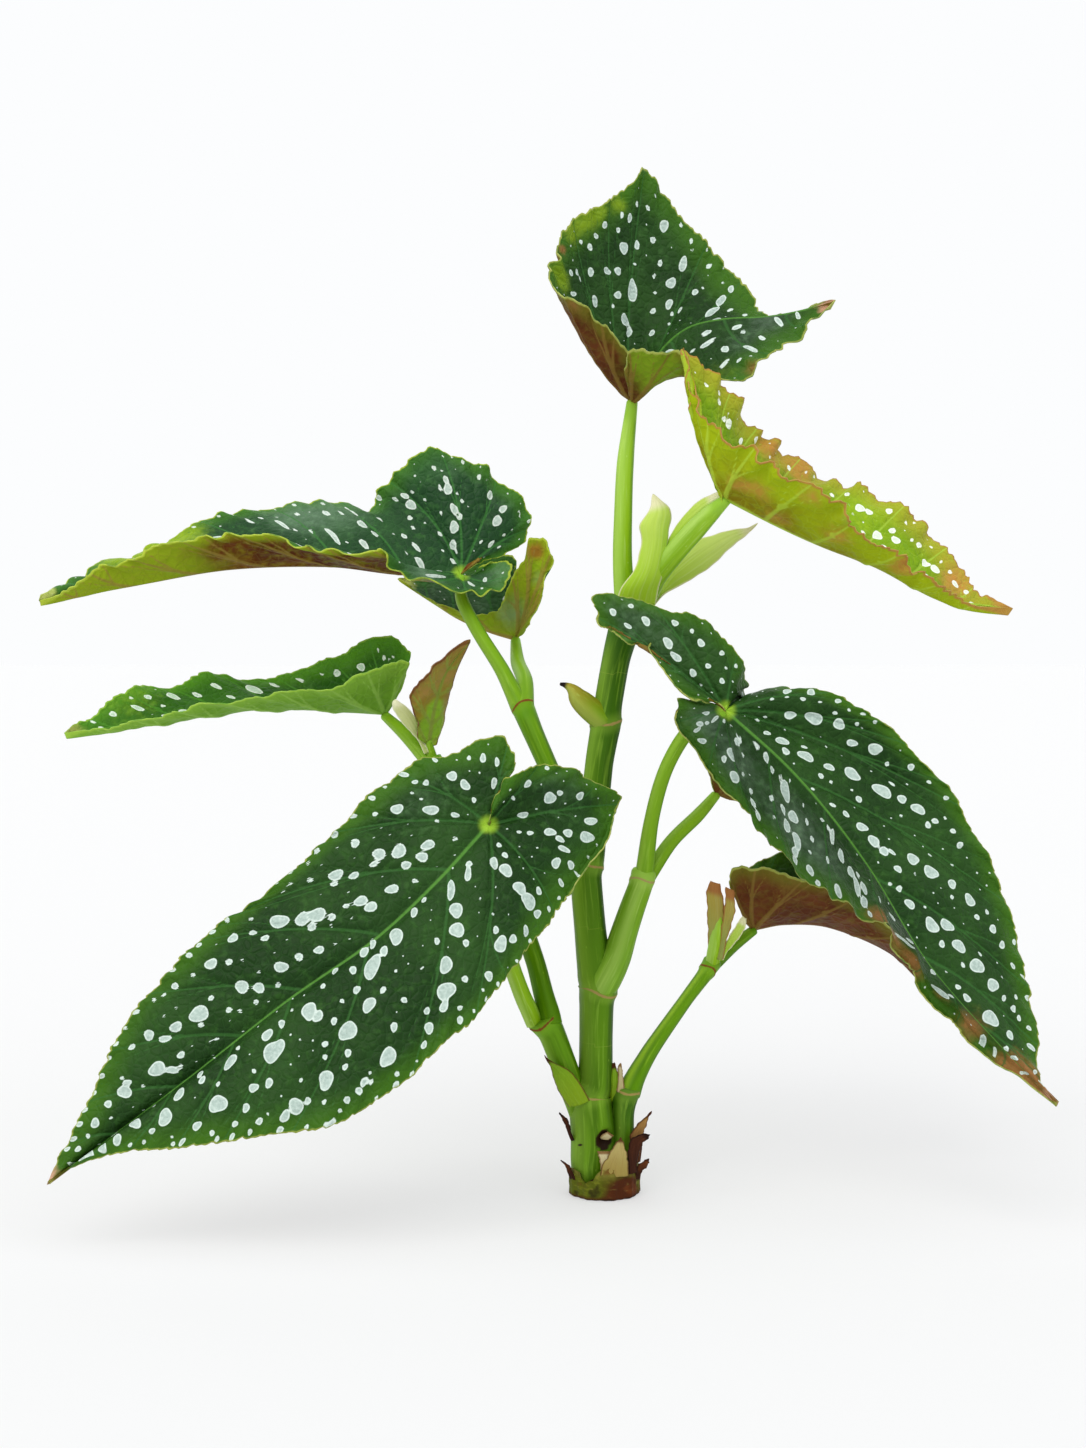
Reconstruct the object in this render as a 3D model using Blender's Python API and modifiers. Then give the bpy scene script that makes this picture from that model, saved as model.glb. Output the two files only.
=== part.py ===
# A spotted cane begonia, cut off flat through its crown and standing on the cut.
# The origin is the middle of the cut face, +Z is up, and the plant's broad side faces -Y.
# Places are in millimetres in this file and become metres as the pieces are made.

import bpy
import bmesh
import math
from mathutils import Vector

MM = 0.001

# driving dimensions, in millimetres
CROWN_RADIUS = 12.4
CROWN_HEIGHT = 22.0
CROWN_SIDES = 24
LEAF_THICKNESS = 0.7
SHEATH_THICKNESS = 0.7
GAP = 0.3
SWELL = GAP + 0.06      # how far a cutter stands proud of the piece it stands for

# how finely each kind of piece is divided
FAN_ROWS = 5            # rows that fan out from the petiole into a basal lobe
BLADE_ROWS = 9          # rows from the midrib to the margin
ACROSS = 3              # steps along one row
CANE_SIDES = 4          # bevel resolution of a cane
PETIOLE_SIDES = 2       # bevel resolution of a petiole
CANE_RINGS = {
    "main_cane": 30, "upper_left_cane": 12, "lower_left_cane": 10, "mid_left_cane": 14, "right_cane": 10,
    "lower_right_stub": 4, "lower_right_cane": 12, "dried_bud": 8, "lower_right_bud": 9,
}
PETIOLE_EXTRA_RINGS = 4     # rings of a petiole beyond one at each of its points

# a sheath's outline follows part of a half wave, from this share of it at the foot to its end at the tip
SHEATH_ROWS = 5
SHEATH_FOOT = 0.25
SHEATH_FULLNESS = 0.8       # below 1 the outline is fuller than the wave
SHEATH_TIP = 0.12           # what is left of the width at the tip, before the outline is scaled to its width
SHEATH_HOLLOW_END = 0.85    # past this share of the wave the hollow stays as it is

# the plain finish of each kind of piece: colour and roughness
FINISHES = {
    "leaf": ((0.035, 0.13, 0.03, 1.0), 0.4),
    "young_leaf": ((0.33, 0.5, 0.05, 1.0), 0.45),
    "cane": ((0.09, 0.24, 0.04, 1.0), 0.45),
    "petiole": ((0.25, 0.48, 0.06, 1.0), 0.45),
    "sheath": ((0.42, 0.62, 0.12, 1.0), 0.5),
    "dry": ((0.16, 0.06, 0.02, 1.0), 0.8),
}
YOUNG_LEAVES = ("upper_right", "young")


def clear_scene():
    for old in list(bpy.data.objects):
        bpy.data.objects.remove(old, do_unlink=True)


def new_collection(name):
    made = bpy.data.collections.new(name)
    bpy.context.scene.collection.children.link(made)
    return made


def material(name, colour, roughness):
    made = bpy.data.materials.new(name)
    made.use_nodes = True
    shader = made.node_tree.nodes["Principled BSDF"]
    shader.inputs["Base Color"].default_value = colour
    shader.inputs["Roughness"].default_value = roughness
    shader.inputs["Metallic"].default_value = 0.0
    return made


def place(name, data, collection, finish):
    made = bpy.data.objects.new(name, data)
    if finish:
        data.materials.append(finish)
    collection.objects.link(made)
    return made


# Lines through a few chosen points

def through(points, share):
    """The point at this share of the way along a smooth line through the points."""
    points = [Vector(point) for point in points]
    steps = [(b - a).length for a, b in zip(points, points[1:])]
    left = share * sum(steps)
    for index, step in enumerate(steps):
        if left <= step or index == len(steps) - 1:
            break
        left -= step
    t = min(left / step, 1.0)
    a, b = points[index], points[index + 1]
    before = points[index - 1] if index else a * 2 - b
    after = points[index + 2] if index + 2 < len(points) else b * 2 - a
    into = (b - before) * 0.5 * min(1.0, 2 * step / ((b - before).length or 1.0))
    out = (after - a) * 0.5 * min(1.0, 2 * step / ((after - a).length or 1.0))
    return (
        a * (2 * t ** 3 - 3 * t ** 2 + 1)
        + into * (t ** 3 - 2 * t ** 2 + t)
        + b * (3 * t ** 2 - 2 * t ** 3)
        + out * (t ** 3 - t ** 2)
    )


# Canes and petioles: tubes that swell at their nodes

def tube(name, route, sides, collection, finish, count):
    """A closed tube along route, a list of (place, radius) in millimetres."""
    curve = bpy.data.curves.new(name, "CURVE")
    curve.dimensions = "3D"
    curve.bevel_depth = MM
    curve.bevel_resolution = sides
    curve.use_fill_caps = True
    spline = curve.splines.new("POLY")
    spline.points.add(count - 1)
    places = [Vector(where) for where, radius in route]
    steps = [0.0]
    for a, b in zip(places, places[1:]):
        steps.append(steps[-1] + (b - a).length)
    for index, point in enumerate(spline.points):
        share = index / (count - 1)
        where = through(places, share) * MM
        point.co = (*where, 1.0)
        point.radius = radius_at(route, steps, share * steps[-1])
    made = place(name, curve, collection, finish)
    bpy.context.view_layer.update()
    mesh = bpy.data.meshes.new_from_object(made.evaluated_get(bpy.context.evaluated_depsgraph_get()))
    bpy.data.objects.remove(made, do_unlink=True)
    work = bmesh.new()
    work.from_mesh(mesh)
    bmesh.ops.remove_doubles(work, verts=work.verts, dist=0.00001)
    bmesh.ops.recalc_face_normals(work, faces=work.faces)
    work.to_mesh(mesh)
    work.free()
    mesh.shade_smooth()
    made = bpy.data.objects.new(name, mesh)
    collection.objects.link(made)
    return made


def radius_at(route, steps, along):
    for index in range(len(route) - 1):
        if along <= steps[index + 1]:
            t = (along - steps[index]) / (steps[index + 1] - steps[index])
            return route[index][1] * (1 - t) + route[index + 1][1] * t
    return route[-1][1]


# Thin pieces: an open sheet given its thickness

def sheet_from(name, work, thickness, collection, finish):
    mesh = bpy.data.meshes.new(name)
    bmesh.ops.recalc_face_normals(work, faces=work.faces)
    work.to_mesh(mesh)
    work.free()
    mesh.shade_smooth()
    made = place(name, mesh, collection, finish)
    solid = made.modifiers.new("Thickness", "SOLIDIFY")
    solid.thickness = thickness * MM
    solid.offset = 0.0
    return made


def leaf(name, shape, collection, finish):
    """A blade whose rows run from the midrib, or from the petiole, out to the margin."""
    work = bmesh.new()
    midrib = []
    for step in range(BLADE_ROWS + 1):
        midrib.append(work.verts.new(through(shape["midrib"], step / BLADE_ROWS) * MM))
    face = Vector(shape["face"]).normalized()
    for side in ("near", "far"):
        margin = shape[side]
        margin = margin + [shape["midrib"][-1]]
        lobe = shape[side + "_lobe"]
        rows = []
        for step in range(FAN_ROWS):
            rows.append((midrib[0], lobe * step / FAN_ROWS))
        for step in range(BLADE_ROWS):
            rows.append((midrib[step], lobe + (1 - lobe) * step / BLADE_ROWS))
        lines = []
        for start, share in rows:
            end = through(margin, share)
            line = [start]
            for step in range(1, ACROSS + 1):
                t = step / ACROSS
                where = start.co / MM * (1 - t) + end * t
                where += face * shape[side + "_bow"] * 4 * t * (1 - t)
                line.append(work.verts.new(where * MM))
            lines.append(line)
        lines.append([midrib[-1]] * (ACROSS + 1))
        for one, two in zip(lines, lines[1:]):
            for step in range(ACROSS):
                corners = []
                for vert in (one[step], one[step + 1], two[step + 1], two[step]):
                    if vert not in corners:
                        corners.append(vert)
                work.faces.new(corners)
    return sheet_from(name, work, LEAF_THICKNESS, collection, finish)


def sheath(name, shape, collection, finish):
    """A stipule, bract or scale: a pointed sheet, hollow on one side, along a spine."""
    work = bmesh.new()
    face = Vector(shape["face"]).normalized()
    rows = []
    for step in range(SHEATH_ROWS + 1):
        share = step / SHEATH_ROWS
        wave = SHEATH_FOOT + (1 - SHEATH_FOOT) * share
        where = through(shape["spine"], share)
        ahead = through(shape["spine"], min(share + 0.05, 1.0))
        behind = through(shape["spine"], max(share - 0.05, 0.0))
        sideways = (ahead - behind).cross(face).normalized()
        fullness = abs(math.sin(math.pi * wave)) ** SHEATH_FULLNESS
        width = shape["width"] * (SHEATH_TIP + fullness) / (SHEATH_TIP + 1)
        hollow = face * shape["hollow"] * math.sin(math.pi * min(SHEATH_HOLLOW_END, wave))
        rows.append([where - sideways * width + hollow, where, where + sideways * width + hollow])
    verts = [[work.verts.new(where * MM) for where in row] for row in rows]
    for one, two in zip(verts, verts[1:]):
        for step in range(2):
            work.faces.new((one[step], one[step + 1], two[step + 1], two[step]))
    return sheet_from(name, work, SHEATH_THICKNESS, collection, finish)


# Where one piece grows out of another it is trimmed to the other's skin

def trim(piece, cutters, *others):
    for other in others:
        cutter = bpy.data.objects.new(f"{piece.name}_from_{other.name}", other.data)
        cutters.objects.link(cutter)
        for modifier in other.modifiers:
            if modifier.type == "SOLIDIFY":
                copy = cutter.modifiers.new("Thickness", "SOLIDIFY")
                copy.thickness = modifier.thickness
                copy.offset = modifier.offset
            if modifier.type == "SCREW":
                copy = cutter.modifiers.new("Turn", "SCREW")
                copy.steps = modifier.steps
                copy.render_steps = modifier.render_steps
                copy.use_merge_vertices = True
                copy.merge_threshold = modifier.merge_threshold
        swell = cutter.modifiers.new("Swell", "DISPLACE")
        swell.strength = SWELL * MM
        swell.mid_level = 0.0
        cutter.hide_render = True
        cutter.display_type = "WIRE"
        cut = piece.modifiers.new("Trim", "BOOLEAN")
        cut.operation = "DIFFERENCE"
        cut.object = cutter


def crown(collection, finish):
    """The cut rootstock: a turned knob with a flat foot and a flat top."""
    profile = (
        (0.0, CROWN_HEIGHT),
        (CROWN_RADIUS - 1.6, CROWN_HEIGHT),
        (CROWN_RADIUS - 0.3, CROWN_HEIGHT - 1.6),
        (CROWN_RADIUS - 0.4, 14.0),
        (CROWN_RADIUS + 0.7, 9.0),
        (CROWN_RADIUS + 0.2, 3.0),
        (CROWN_RADIUS - 0.2, 0.0),
        (0.0, 0.0),
    )
    mesh = bpy.data.meshes.new("crown")
    verts = [(radius * MM, 0.0, height * MM) for radius, height in profile]
    mesh.from_pydata(verts, [(i, i + 1) for i in range(len(verts) - 1)], [])
    made = place("crown", mesh, collection, finish)
    turn = made.modifiers.new("Turn", "SCREW")
    turn.steps = CROWN_SIDES
    turn.render_steps = CROWN_SIDES
    turn.use_merge_vertices = True
    turn.merge_threshold = 0.0001
    return made


# Canes, as (place, radius) from their foot up; each node is a slight swelling

MAIN_CANE = [
    ((-4.8, 0, 22.3), 7.2), ((-4.6, 0, 34), 7.4), ((-4.2, 0, 39), 6.2), ((-3, 0, 55), 6.0),
    ((-2, 0, 70), 6.2), ((-2, 0, 75), 6.6), ((-3, 0, 80), 5.7), ((-5, 0, 94), 5.5),
    ((-6.6, 0, 113), 5.5), ((-6, 0, 118), 5.8), ((-5, 0, 124), 5.2), ((-2, 0, 153), 4.9),
    ((0, 0, 168), 5.4), ((1, 0, 173), 4.9), ((4, 0, 190), 4.9), ((7, 0, 201), 5.6),
    ((9.5, 0, 208), 7.2), ((11, 0, 213), 6.6),
]
UPPER_LEFT_CANE = [
    ((-6, 0, 114), 3.4), ((-10, 9, 128), 3.5), ((-15, 15, 140), 3.5), ((-20, 20, 151), 3.5),
    ((-25, 24, 162), 3.7), ((-28, 27, 169), 4.3), ((-30, 29, 174), 4.0),
]
LOWER_LEFT_CANE = [
    ((-7, 0, 27), 4.6), ((-12, -1, 40), 4.6), ((-15.5, -2.5, 50), 4.6), ((-19, -4, 58), 4.8),
    ((-22, -5, 64), 5.6), ((-23, -5.5, 67), 4.8),
]
MID_LEFT_CANE = [
    ((-21, -3.6, 64), 3.3), ((-23, 4, 82), 3.4), ((-32, 12, 107), 3.3), ((-47, 20, 131), 3.2),
    ((-57, 25, 145), 3.4), ((-62, 27, 152), 3.9),
]
RIGHT_CANE = [
    ((-1, 0, 72), 4.2), ((3, 0, 83), 4.4), ((6, 1, 90), 4.1), ((10, 2, 101), 3.8),
    ((13, 3.5, 110), 4.0), ((14, 4, 114), 4.4),
]
LOWER_RIGHT_STUB = [((7.6, 0, 22.3), 4.1), ((7.6, 0, 33), 4.3), ((8, 0, 36), 4.7), ((8.2, 0, 38), 4.4)]
LOWER_RIGHT_CANE = [
    ((8.3, 0.2, 36.6), 3.4), ((12, 3, 43), 2.8), ((18, 9, 52), 2.5), ((30, 19, 66), 2.5),
    ((37, 25, 74), 2.8), ((40, 28, 78), 3.5),
]

# Petioles, as (place, radius) from the node up to the blade

PETIOLES = {
    "front": [
        ((-23.6, -5.8, 65), 3.4), ((-29, -13, 76), 2.9), ((-31, -18, 84), 2.8), ((-35, -23, 102), 2.7),
        ((-39, -29, 121), 2.6), ((-40.6, -36, 131), 2.4), ((-40.2, -40.8, 135.5), 1.6),
    ],
    "upper_left": [
        ((-30, 28.6, 172), 3.2), ((-37, 36, 185), 2.7), ((-46, 43, 199), 2.5), ((-51.6, 47.6, 210), 2.4),
        ((-52, 49.5, 216.6), 1.3),
    ],
    "mid_left": [((-62.4, 27.2, 151), 3.0), ((-71, 33, 160.2), 2.6), ((-79, 39.4, 166.9), 1.6)],
    "right": [
        ((13.9, 3.4, 112), 3.3), ((16.5, 0, 133), 2.6), ((21, -6, 151), 2.5), ((28, -12, 164.5), 2.5),
        ((35.6, -22, 171.6), 2.3), ((39.0, -31.8, 173.3), 1.3),
    ],
    "top": [
        ((7.2, 0, 209), 3.4), ((6.2, 2, 224), 3.4), ((6.5, 5, 240), 3.2), ((7.4, 9, 259), 3.0),
        ((9.8, 13.7, 279.2), 1.6),
    ],
    "upper_right": [
        ((12, -1, 208), 3.9), ((17, -4.5, 218), 3.8), ((23, -10, 226), 3.7), ((31, -19, 235.5), 3.7),
        ((36.5, -26.4, 241.5), 3.0), ((39, -29, 243.6), 1.8),
    ],
    "lower_right": [((40.4, 28.6, 77.6), 2.6), ((48, 32.6, 83.6), 2.3), ((55, 35.6, 88.2), 1.5)],
    "folded": [
        ((-28.6, 28.4, 172), 3.0), ((-28.6, 38, 180), 2.6), ((-31, 56, 186), 2.4), ((-32, 68.8, 193), 1.5),
    ],
    "young": [((-61.4, 27, 151), 2.2), ((-63, 26.8, 158), 1.4)],
    "back": [((15, 5, 112), 2.9), ((24, 12, 124), 2.5), ((34, 18, 133), 2.4), ((40, 23, 139), 1.5)],
}

# Leaves: the midrib from the petiole to the tip, and each half's margin from the notch to the tip.
# The near half is the one on the -Y side. A lobe is the share of a margin that fans out
# from the petiole, a bow is how far the half arches toward its upper face.

LEAVES = {
    "front": {
        "midrib": [(-40, -42, 136), (-57, -51, 118), (-77, -59, 100), (-105, -65, 81), (-140, -70, 54),
                   (-184, -72, 21)],
        "far": [(-32, -38, 152), (-34, -33, 163), (-39, -31, 165), (-54, -30, 158), (-74, -34, 150),
                (-108, -46, 119), (-131, -52, 103), (-149, -59, 85), (-175, -70, 39)],
        "near": [(-31, -43, 153), (-7, -28, 153), (5, -21, 144), (-4, -35, 123), (-16, -48, 109),
                 (-34, -65, 88), (-56, -78, 67), (-92, -86, 43), (-125, -84, 38), (-155, -79, 34)],
        "far_lobe": 0.26, "near_lobe": 0.4, "far_bow": 2.0, "near_bow": 3.0,
        "face": (0.16, -0.93, 0.33),
    },
    "upper_left": {
        "midrib": [(-52, 50, 219), (-74, 46, 219), (-100, 42, 222), (-136, 36, 221), (-171, 28, 215),
                   (-202, 20, 210)],
        "far": [(-34, 58, 227), (-26, 61, 239), (-36, 64, 252), (-53, 65, 263), (-66, 66, 265),
                (-78, 68, 256), (-86, 69, 246), (-120, 65, 243), (-144, 59, 241), (-170, 49, 227),
                (-196, 26, 214)],
        "near": [(-35, 54, 224), (-36, 46, 218), (-49, 35, 213), (-61, 30, 214), (-72, 27, 218),
                 (-80, 23, 227), (-107, 20, 230), (-143, 20, 232), (-162, 20, 224), (-184, 19, 215)],
        "far_lobe": 0.42, "near_lobe": 0.22, "far_bow": 2.0, "near_bow": -2.0,
        "face": (0.0, -0.4, 0.9),
    },
    "mid_left": {
        "midrib": [(-80, 40, 168), (-93, 38, 169), (-118, 32, 171), (-142, 26, 169), (-192, 14, 163)],
        "far": [(-70, 47, 179), (-71, 52, 187), (-74, 55, 194), (-85, 58, 194), (-110, 56, 183),
                (-134, 50, 180), (-166, 36, 177), (-186, 20, 167)],
        "near": [(-71, 37, 177), (-71, 29, 188), (-82, 24, 188), (-101, 17, 179), (-121, 13, 176),
                 (-160, 12, 168), (-182, 14, 164)],
        "far_lobe": 0.26, "near_lobe": 0.26, "far_bow": -2.0, "near_bow": -2.0,
        "face": (0.1, -0.1, 0.98),
    },
    "right": {
        "midrib": [(40, -35, 174), (59, -47, 157), (73, -55, 141), (86, -61, 123), (106, -68, 91),
                   (147, -67, 46)],
        "near": [(24, -33, 175), (23, -30, 172), (30, -23, 161), (37, -20, 150), (54, -25, 128),
                 (75, -34, 113), (99, -49, 93), (121, -62, 67), (133, -66, 54)],
        "far": [(26, -37, 181), (16, -29, 189), (-2, -17, 203), (-5, -13, 212), (13, -19, 210),
                (30, -25, 206), (43, -30, 195), (47, -25, 184), (50, -10, 176), (61, -29, 181),
                (74, -35, 181), (93, -37, 170), (112, -37, 151), (133, -43, 112), (141, -57, 66)],
        "near_lobe": 0.26, "far_lobe": 0.46, "near_bow": 1.0, "far_bow": 2.5,
        "face": (0.2, -0.85, 0.45),
    },
    "top": {
        "midrib": [(10, 14, 280), (21, 14, 294), (34, 12, 300), (48, 8, 304), (65, 6, 309), (80, 4, 315)],
        "far": [(12, 0, 294), (0, -10, 304), (-16, -8, 315), (-20, 4, 325), (-16, 16, 337),
                (-5, 28, 349), (15, 42, 365), (25, 44, 352), (45, 40, 331), (56, 28, 313), (71, 14, 313)],
        "near": [(16, 0, 293), (26, -8, 296), (38, -13, 286), (50, -14, 288), (67, -6, 301),
                 (74, -2, 308)],
        "far_lobe": 0.6, "near_lobe": 0.3, "far_bow": -3.0, "near_bow": -2.0,
        "face": (0.25, -0.35, 0.9),
    },
    "upper_right": {
        "midrib": [(40, -30, 245), (58, -28, 236), (74, -25, 229), (91, -21, 223), (115, -14, 212),
                   (141, -8, 208)],
        "near": [(35, -34, 254), (29, -36, 271), (28, -38, 281), (34, -42, 270), (50, -48, 260),
                 (71, -50, 247), (90, -40, 229), (102, -32, 226), (124, -16, 211)],
        "far": [(37, -25, 254), (29, -25, 276), (27, -22, 295), (33, -19, 291), (54, -6, 270),
                (75, 5, 255), (102, 6, 245), (115, 4, 232), (134, -5, 211)],
        "near_lobe": 0.36, "far_lobe": 0.42, "near_bow": -2.5, "far_bow": -2.5,
        "face": (0.35, 0.1, 0.93),
    },
    "lower_right": {
        "midrib": [(56, 36, 89), (67, 36, 91), (83, 36, 90), (105, 36, 81), (118, 34, 69), (142, 30, 49)],
        "near": [(52, 32, 95), (46, 26, 105), (48, 20, 114), (70, 14, 111), (88, 12, 107), (108, 16, 88),
                 (129, 22, 65)],
        "far": [(54, 42, 96), (51, 52, 105), (60, 62, 111), (76, 70, 114), (95, 72, 106),
                (117, 64, 88), (133, 46, 65)],
        "near_lobe": 0.3, "far_lobe": 0.3, "near_bow": -1.5, "far_bow": -1.5,
        "face": (0.1, -0.05, 0.99),
    },
    "folded": {
        "midrib": [(-32, 70, 194), (-42, 72, 197), (-54, 76, 202), (-65, 80, 209), (-77, 84, 217)],
        "near": [(-28, 65, 198), (-23, 60, 206), (-19, 54, 225), (-26, 57, 231), (-35, 62, 214),
                 (-49, 66, 201), (-66, 74, 208)],
        "far": [(-29, 75, 199), (-25, 84, 213), (-25, 90, 230), (-38, 94, 230), (-54, 96, 222),
                (-68, 92, 220)],
        "near_lobe": 0.5, "far_lobe": 0.4, "near_bow": -1.0, "far_bow": -1.0,
        "face": (0.1, -0.1, 0.98),
    },
    "young": {
        "midrib": [(-63.4, 26.4, 159), (-62, 25, 168), (-57, 23, 182), (-49, 19, 196)],
        "near": [(-67, 23, 161), (-70, 18, 169), (-70, 16, 175), (-62, 14, 185), (-54, 16, 194)],
        "far": [(-60.6, 29, 161), (-59, 33, 166), (-55.5, 31, 176), (-51.5, 25, 187)],
        "near_lobe": 0.15, "far_lobe": 0.15, "near_bow": -0.5, "far_bow": -0.5,
        "face": (-0.2, 0.2, 0.96),
    },
    "back": {
        "midrib": [(41, 24, 140), (60, 38, 141), (86, 54, 133), (116, 70, 114), (150, 82, 78)],
        "near": [(38.5, 20, 145), (38, 17, 152), (46, 16, 150), (62, 20, 145), (83, 31, 131),
                 (104, 44, 116), (130, 63, 93)],
        "far": [(43, 31, 145), (49, 50, 154), (66, 68, 163), (92, 84, 159), (122, 94, 138), (146, 97, 106)],
        "near_lobe": 0.25, "far_lobe": 0.3, "near_bow": -1.0, "far_bow": -1.0,
        "face": (0.1, 0.1, 0.98),
    },
}

# Stipules, bracts and scales: the spine from the foot to the tip, half the greatest width,
# how hollow the sheet is, and the side that the hollow faces

SHEATHS = {
    "top_stipule": {
        "spine": [(13.5, -8.6, 208.6), (18, -10.6, 221), (20.4, -11.6, 233), (18, -10, 247)],
        "width": 4.6, "hollow": 1.0, "face": (-0.2, 0.95, 0.1), "finish": "sheath",
    },
    "back_stipule": {
        "spine": [(16, 4, 210), (25, 9, 219), (39, 14, 229), (55, 18, 236)],
        "width": 4.0, "hollow": 1.5, "face": (-0.4, -0.7, 0.6), "finish": "sheath",
    },
    "young_stipule": {
        "spine": [(-64.6, 23.6, 151.6), (-70, 21, 157), (-75, 18, 164), (-77, 17, 170)],
        "width": 2.2, "hollow": 0.6, "face": (-0.3, 0.9, -0.2), "finish": "sheath",
    },
    "lower_right_flap": {
        "spine": [(42, 24, 79), (45, 22, 85), (47, 21, 91), (47.6, 20.5, 97)],
        "width": 2.2, "hollow": 0.8, "face": (-0.4, 0.9, 0.0), "finish": "sheath",
    },
    "left_bract": {
        "spine": [(-8, -8, 33), (-13, -8.6, 36.5), (-18, -9, 43), (-21.5, -8, 49)],
        "width": 3.6, "hollow": 1.4, "face": (0.5, 0.8, 0.2), "finish": "sheath",
    },
    "crown_flap": {
        "spine": [(3, -13.4, 8), (4, -14.3, 13), (5, -14.3, 18), (5.2, -13.4, 23)],
        "width": 5.0, "hollow": 1.0, "face": (0.1, 1.0, 0.0), "finish": "dry",
    },
    "crown_scale_1": {
        "spine": [(11.5, -7, 10), (14, -7.5, 15), (16, -7, 19), (17.5, -6, 22)],
        "width": 3.0, "hollow": 0.7, "face": (-0.8, 0.5, 0.3), "finish": "dry",
    },
    "crown_scale_2": {
        "spine": [(12.6, 2, 16), (14.6, 1.5, 20), (16, 1, 25), (17.5, 0, 30.5)],
        "width": 3.4, "hollow": 0.8, "face": (-0.9, 0.2, 0.3), "finish": "dry",
    },
    "crown_scale_3": {
        "spine": [(13, -3, 4), (15, -3, 7), (16.5, -3, 10), (17.5, -3, 14)],
        "width": 3.2, "hollow": 0.7, "face": (-0.9, 0.3, 0.4), "finish": "dry",
    },
    "crown_scale_4": {
        "spine": [(-12.6, -2, 14), (-14, -3, 20), (-14.6, -3.4, 26), (-16, -4, 30.5)],
        "width": 2.8, "hollow": 0.7, "face": (0.9, 0.3, 0.2), "finish": "dry",
    },
    "crown_scale_5": {
        "spine": [(-13, 1, 4), (-14.6, 1, 7), (-15.4, 0, 10), (-16, -1, 13)],
        "width": 3.0, "hollow": 0.6, "face": (0.9, 0.1, 0.3), "finish": "dry",
    },
}

DRIED_BUD = [((0, 0, 168), 3.0), ((-5, -1.5, 171), 3.1), ((-9, -2.5, 174), 2.4), ((-12, -3, 178), 1.6),
             ((-15.4, -3.4, 182), 0.7)]
LOWER_RIGHT_BUD = [((40, 27, 78), 2.4), ((39.4, 25.4, 83), 3.2), ((39.6, 24, 91), 3.3), ((40, 23.5, 98), 2.2),
                   ((39.6, 23.4, 105.5), 0.6)]


def build():
    clear_scene()
    parts = new_collection("cut_begonia_plant")
    cutters = new_collection("cutters")
    cutters.hide_render = True

    finishes = {name: material(name, *finish) for name, finish in FINISHES.items()}

    crown_knob = crown(parts, finishes["dry"])

    # canes
    def cane(name, route, sides, finish="cane"):
        return tube(name, route, sides, parts, finishes[finish], CANE_RINGS[name])

    main = cane("main_cane", MAIN_CANE, CANE_SIDES)
    upper_left = cane("upper_left_cane", UPPER_LEFT_CANE, PETIOLE_SIDES)
    lower_left = cane("lower_left_cane", LOWER_LEFT_CANE, CANE_SIDES)
    mid_left = cane("mid_left_cane", MID_LEFT_CANE, PETIOLE_SIDES)
    right = cane("right_cane", RIGHT_CANE, CANE_SIDES)
    stub = cane("lower_right_stub", LOWER_RIGHT_STUB, CANE_SIDES)
    lower_right = cane("lower_right_cane", LOWER_RIGHT_CANE, PETIOLE_SIDES)
    trim(upper_left, cutters, main)
    trim(lower_left, cutters, main, crown_knob)
    trim(right, cutters, main)
    trim(lower_right, cutters, stub)
    carriers = {
        "front": [lower_left, mid_left], "upper_left": [upper_left], "mid_left": [mid_left], "right": [right],
        "top": [main], "upper_right": [main], "lower_right": [lower_right], "folded": [upper_left],
        "young": [mid_left], "back": [right],
    }
    trim(mid_left, cutters, lower_left)

    # petioles and blades
    stalks = {}
    for kind, route in PETIOLES.items():
        rings = len(route) + PETIOLE_EXTRA_RINGS
        stalks[kind] = tube(kind + "_petiole", route, PETIOLE_SIDES, parts, finishes["petiole"], rings)
        trim(stalks[kind], cutters, *carriers[kind])
        finish = finishes["young_leaf" if kind in YOUNG_LEAVES else "leaf"]
        leaf(kind + "_leaf", LEAVES[kind], parts, finish)
    trim(stalks["upper_right"], cutters, stalks["top"])
    trim(stalks["folded"], cutters, stalks["upper_left"])
    trim(stalks["back"], cutters, stalks["right"])
    trim(stalks["young"], cutters, stalks["mid_left"])

    # buds
    bud = cane("dried_bud", DRIED_BUD, PETIOLE_SIDES, "dry")
    trim(bud, cutters, main)
    side_bud = cane("lower_right_bud", LOWER_RIGHT_BUD, PETIOLE_SIDES, "sheath")
    trim(side_bud, cutters, lower_right, stalks["lower_right"])

    # stipules, bracts and scales
    neighbours = {
        "top_stipule": [main, stalks["upper_right"]],
        "back_stipule": [main, stalks["upper_right"]],
        "young_stipule": [mid_left, stalks["mid_left"], stalks["young"]],
        "lower_right_flap": [lower_right, side_bud, stalks["lower_right"]],
        "left_bract": [main, lower_left],
    }
    for name, shape in SHEATHS.items():
        made = sheath(name, shape, parts, finishes[shape["finish"]])
        trim(made, cutters, *neighbours.get(name, [crown_knob]))


build()
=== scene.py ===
import bpy
import math
import random
import numpy as np
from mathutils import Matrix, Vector
from mathutils.bvhtree import BVHTree


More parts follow.
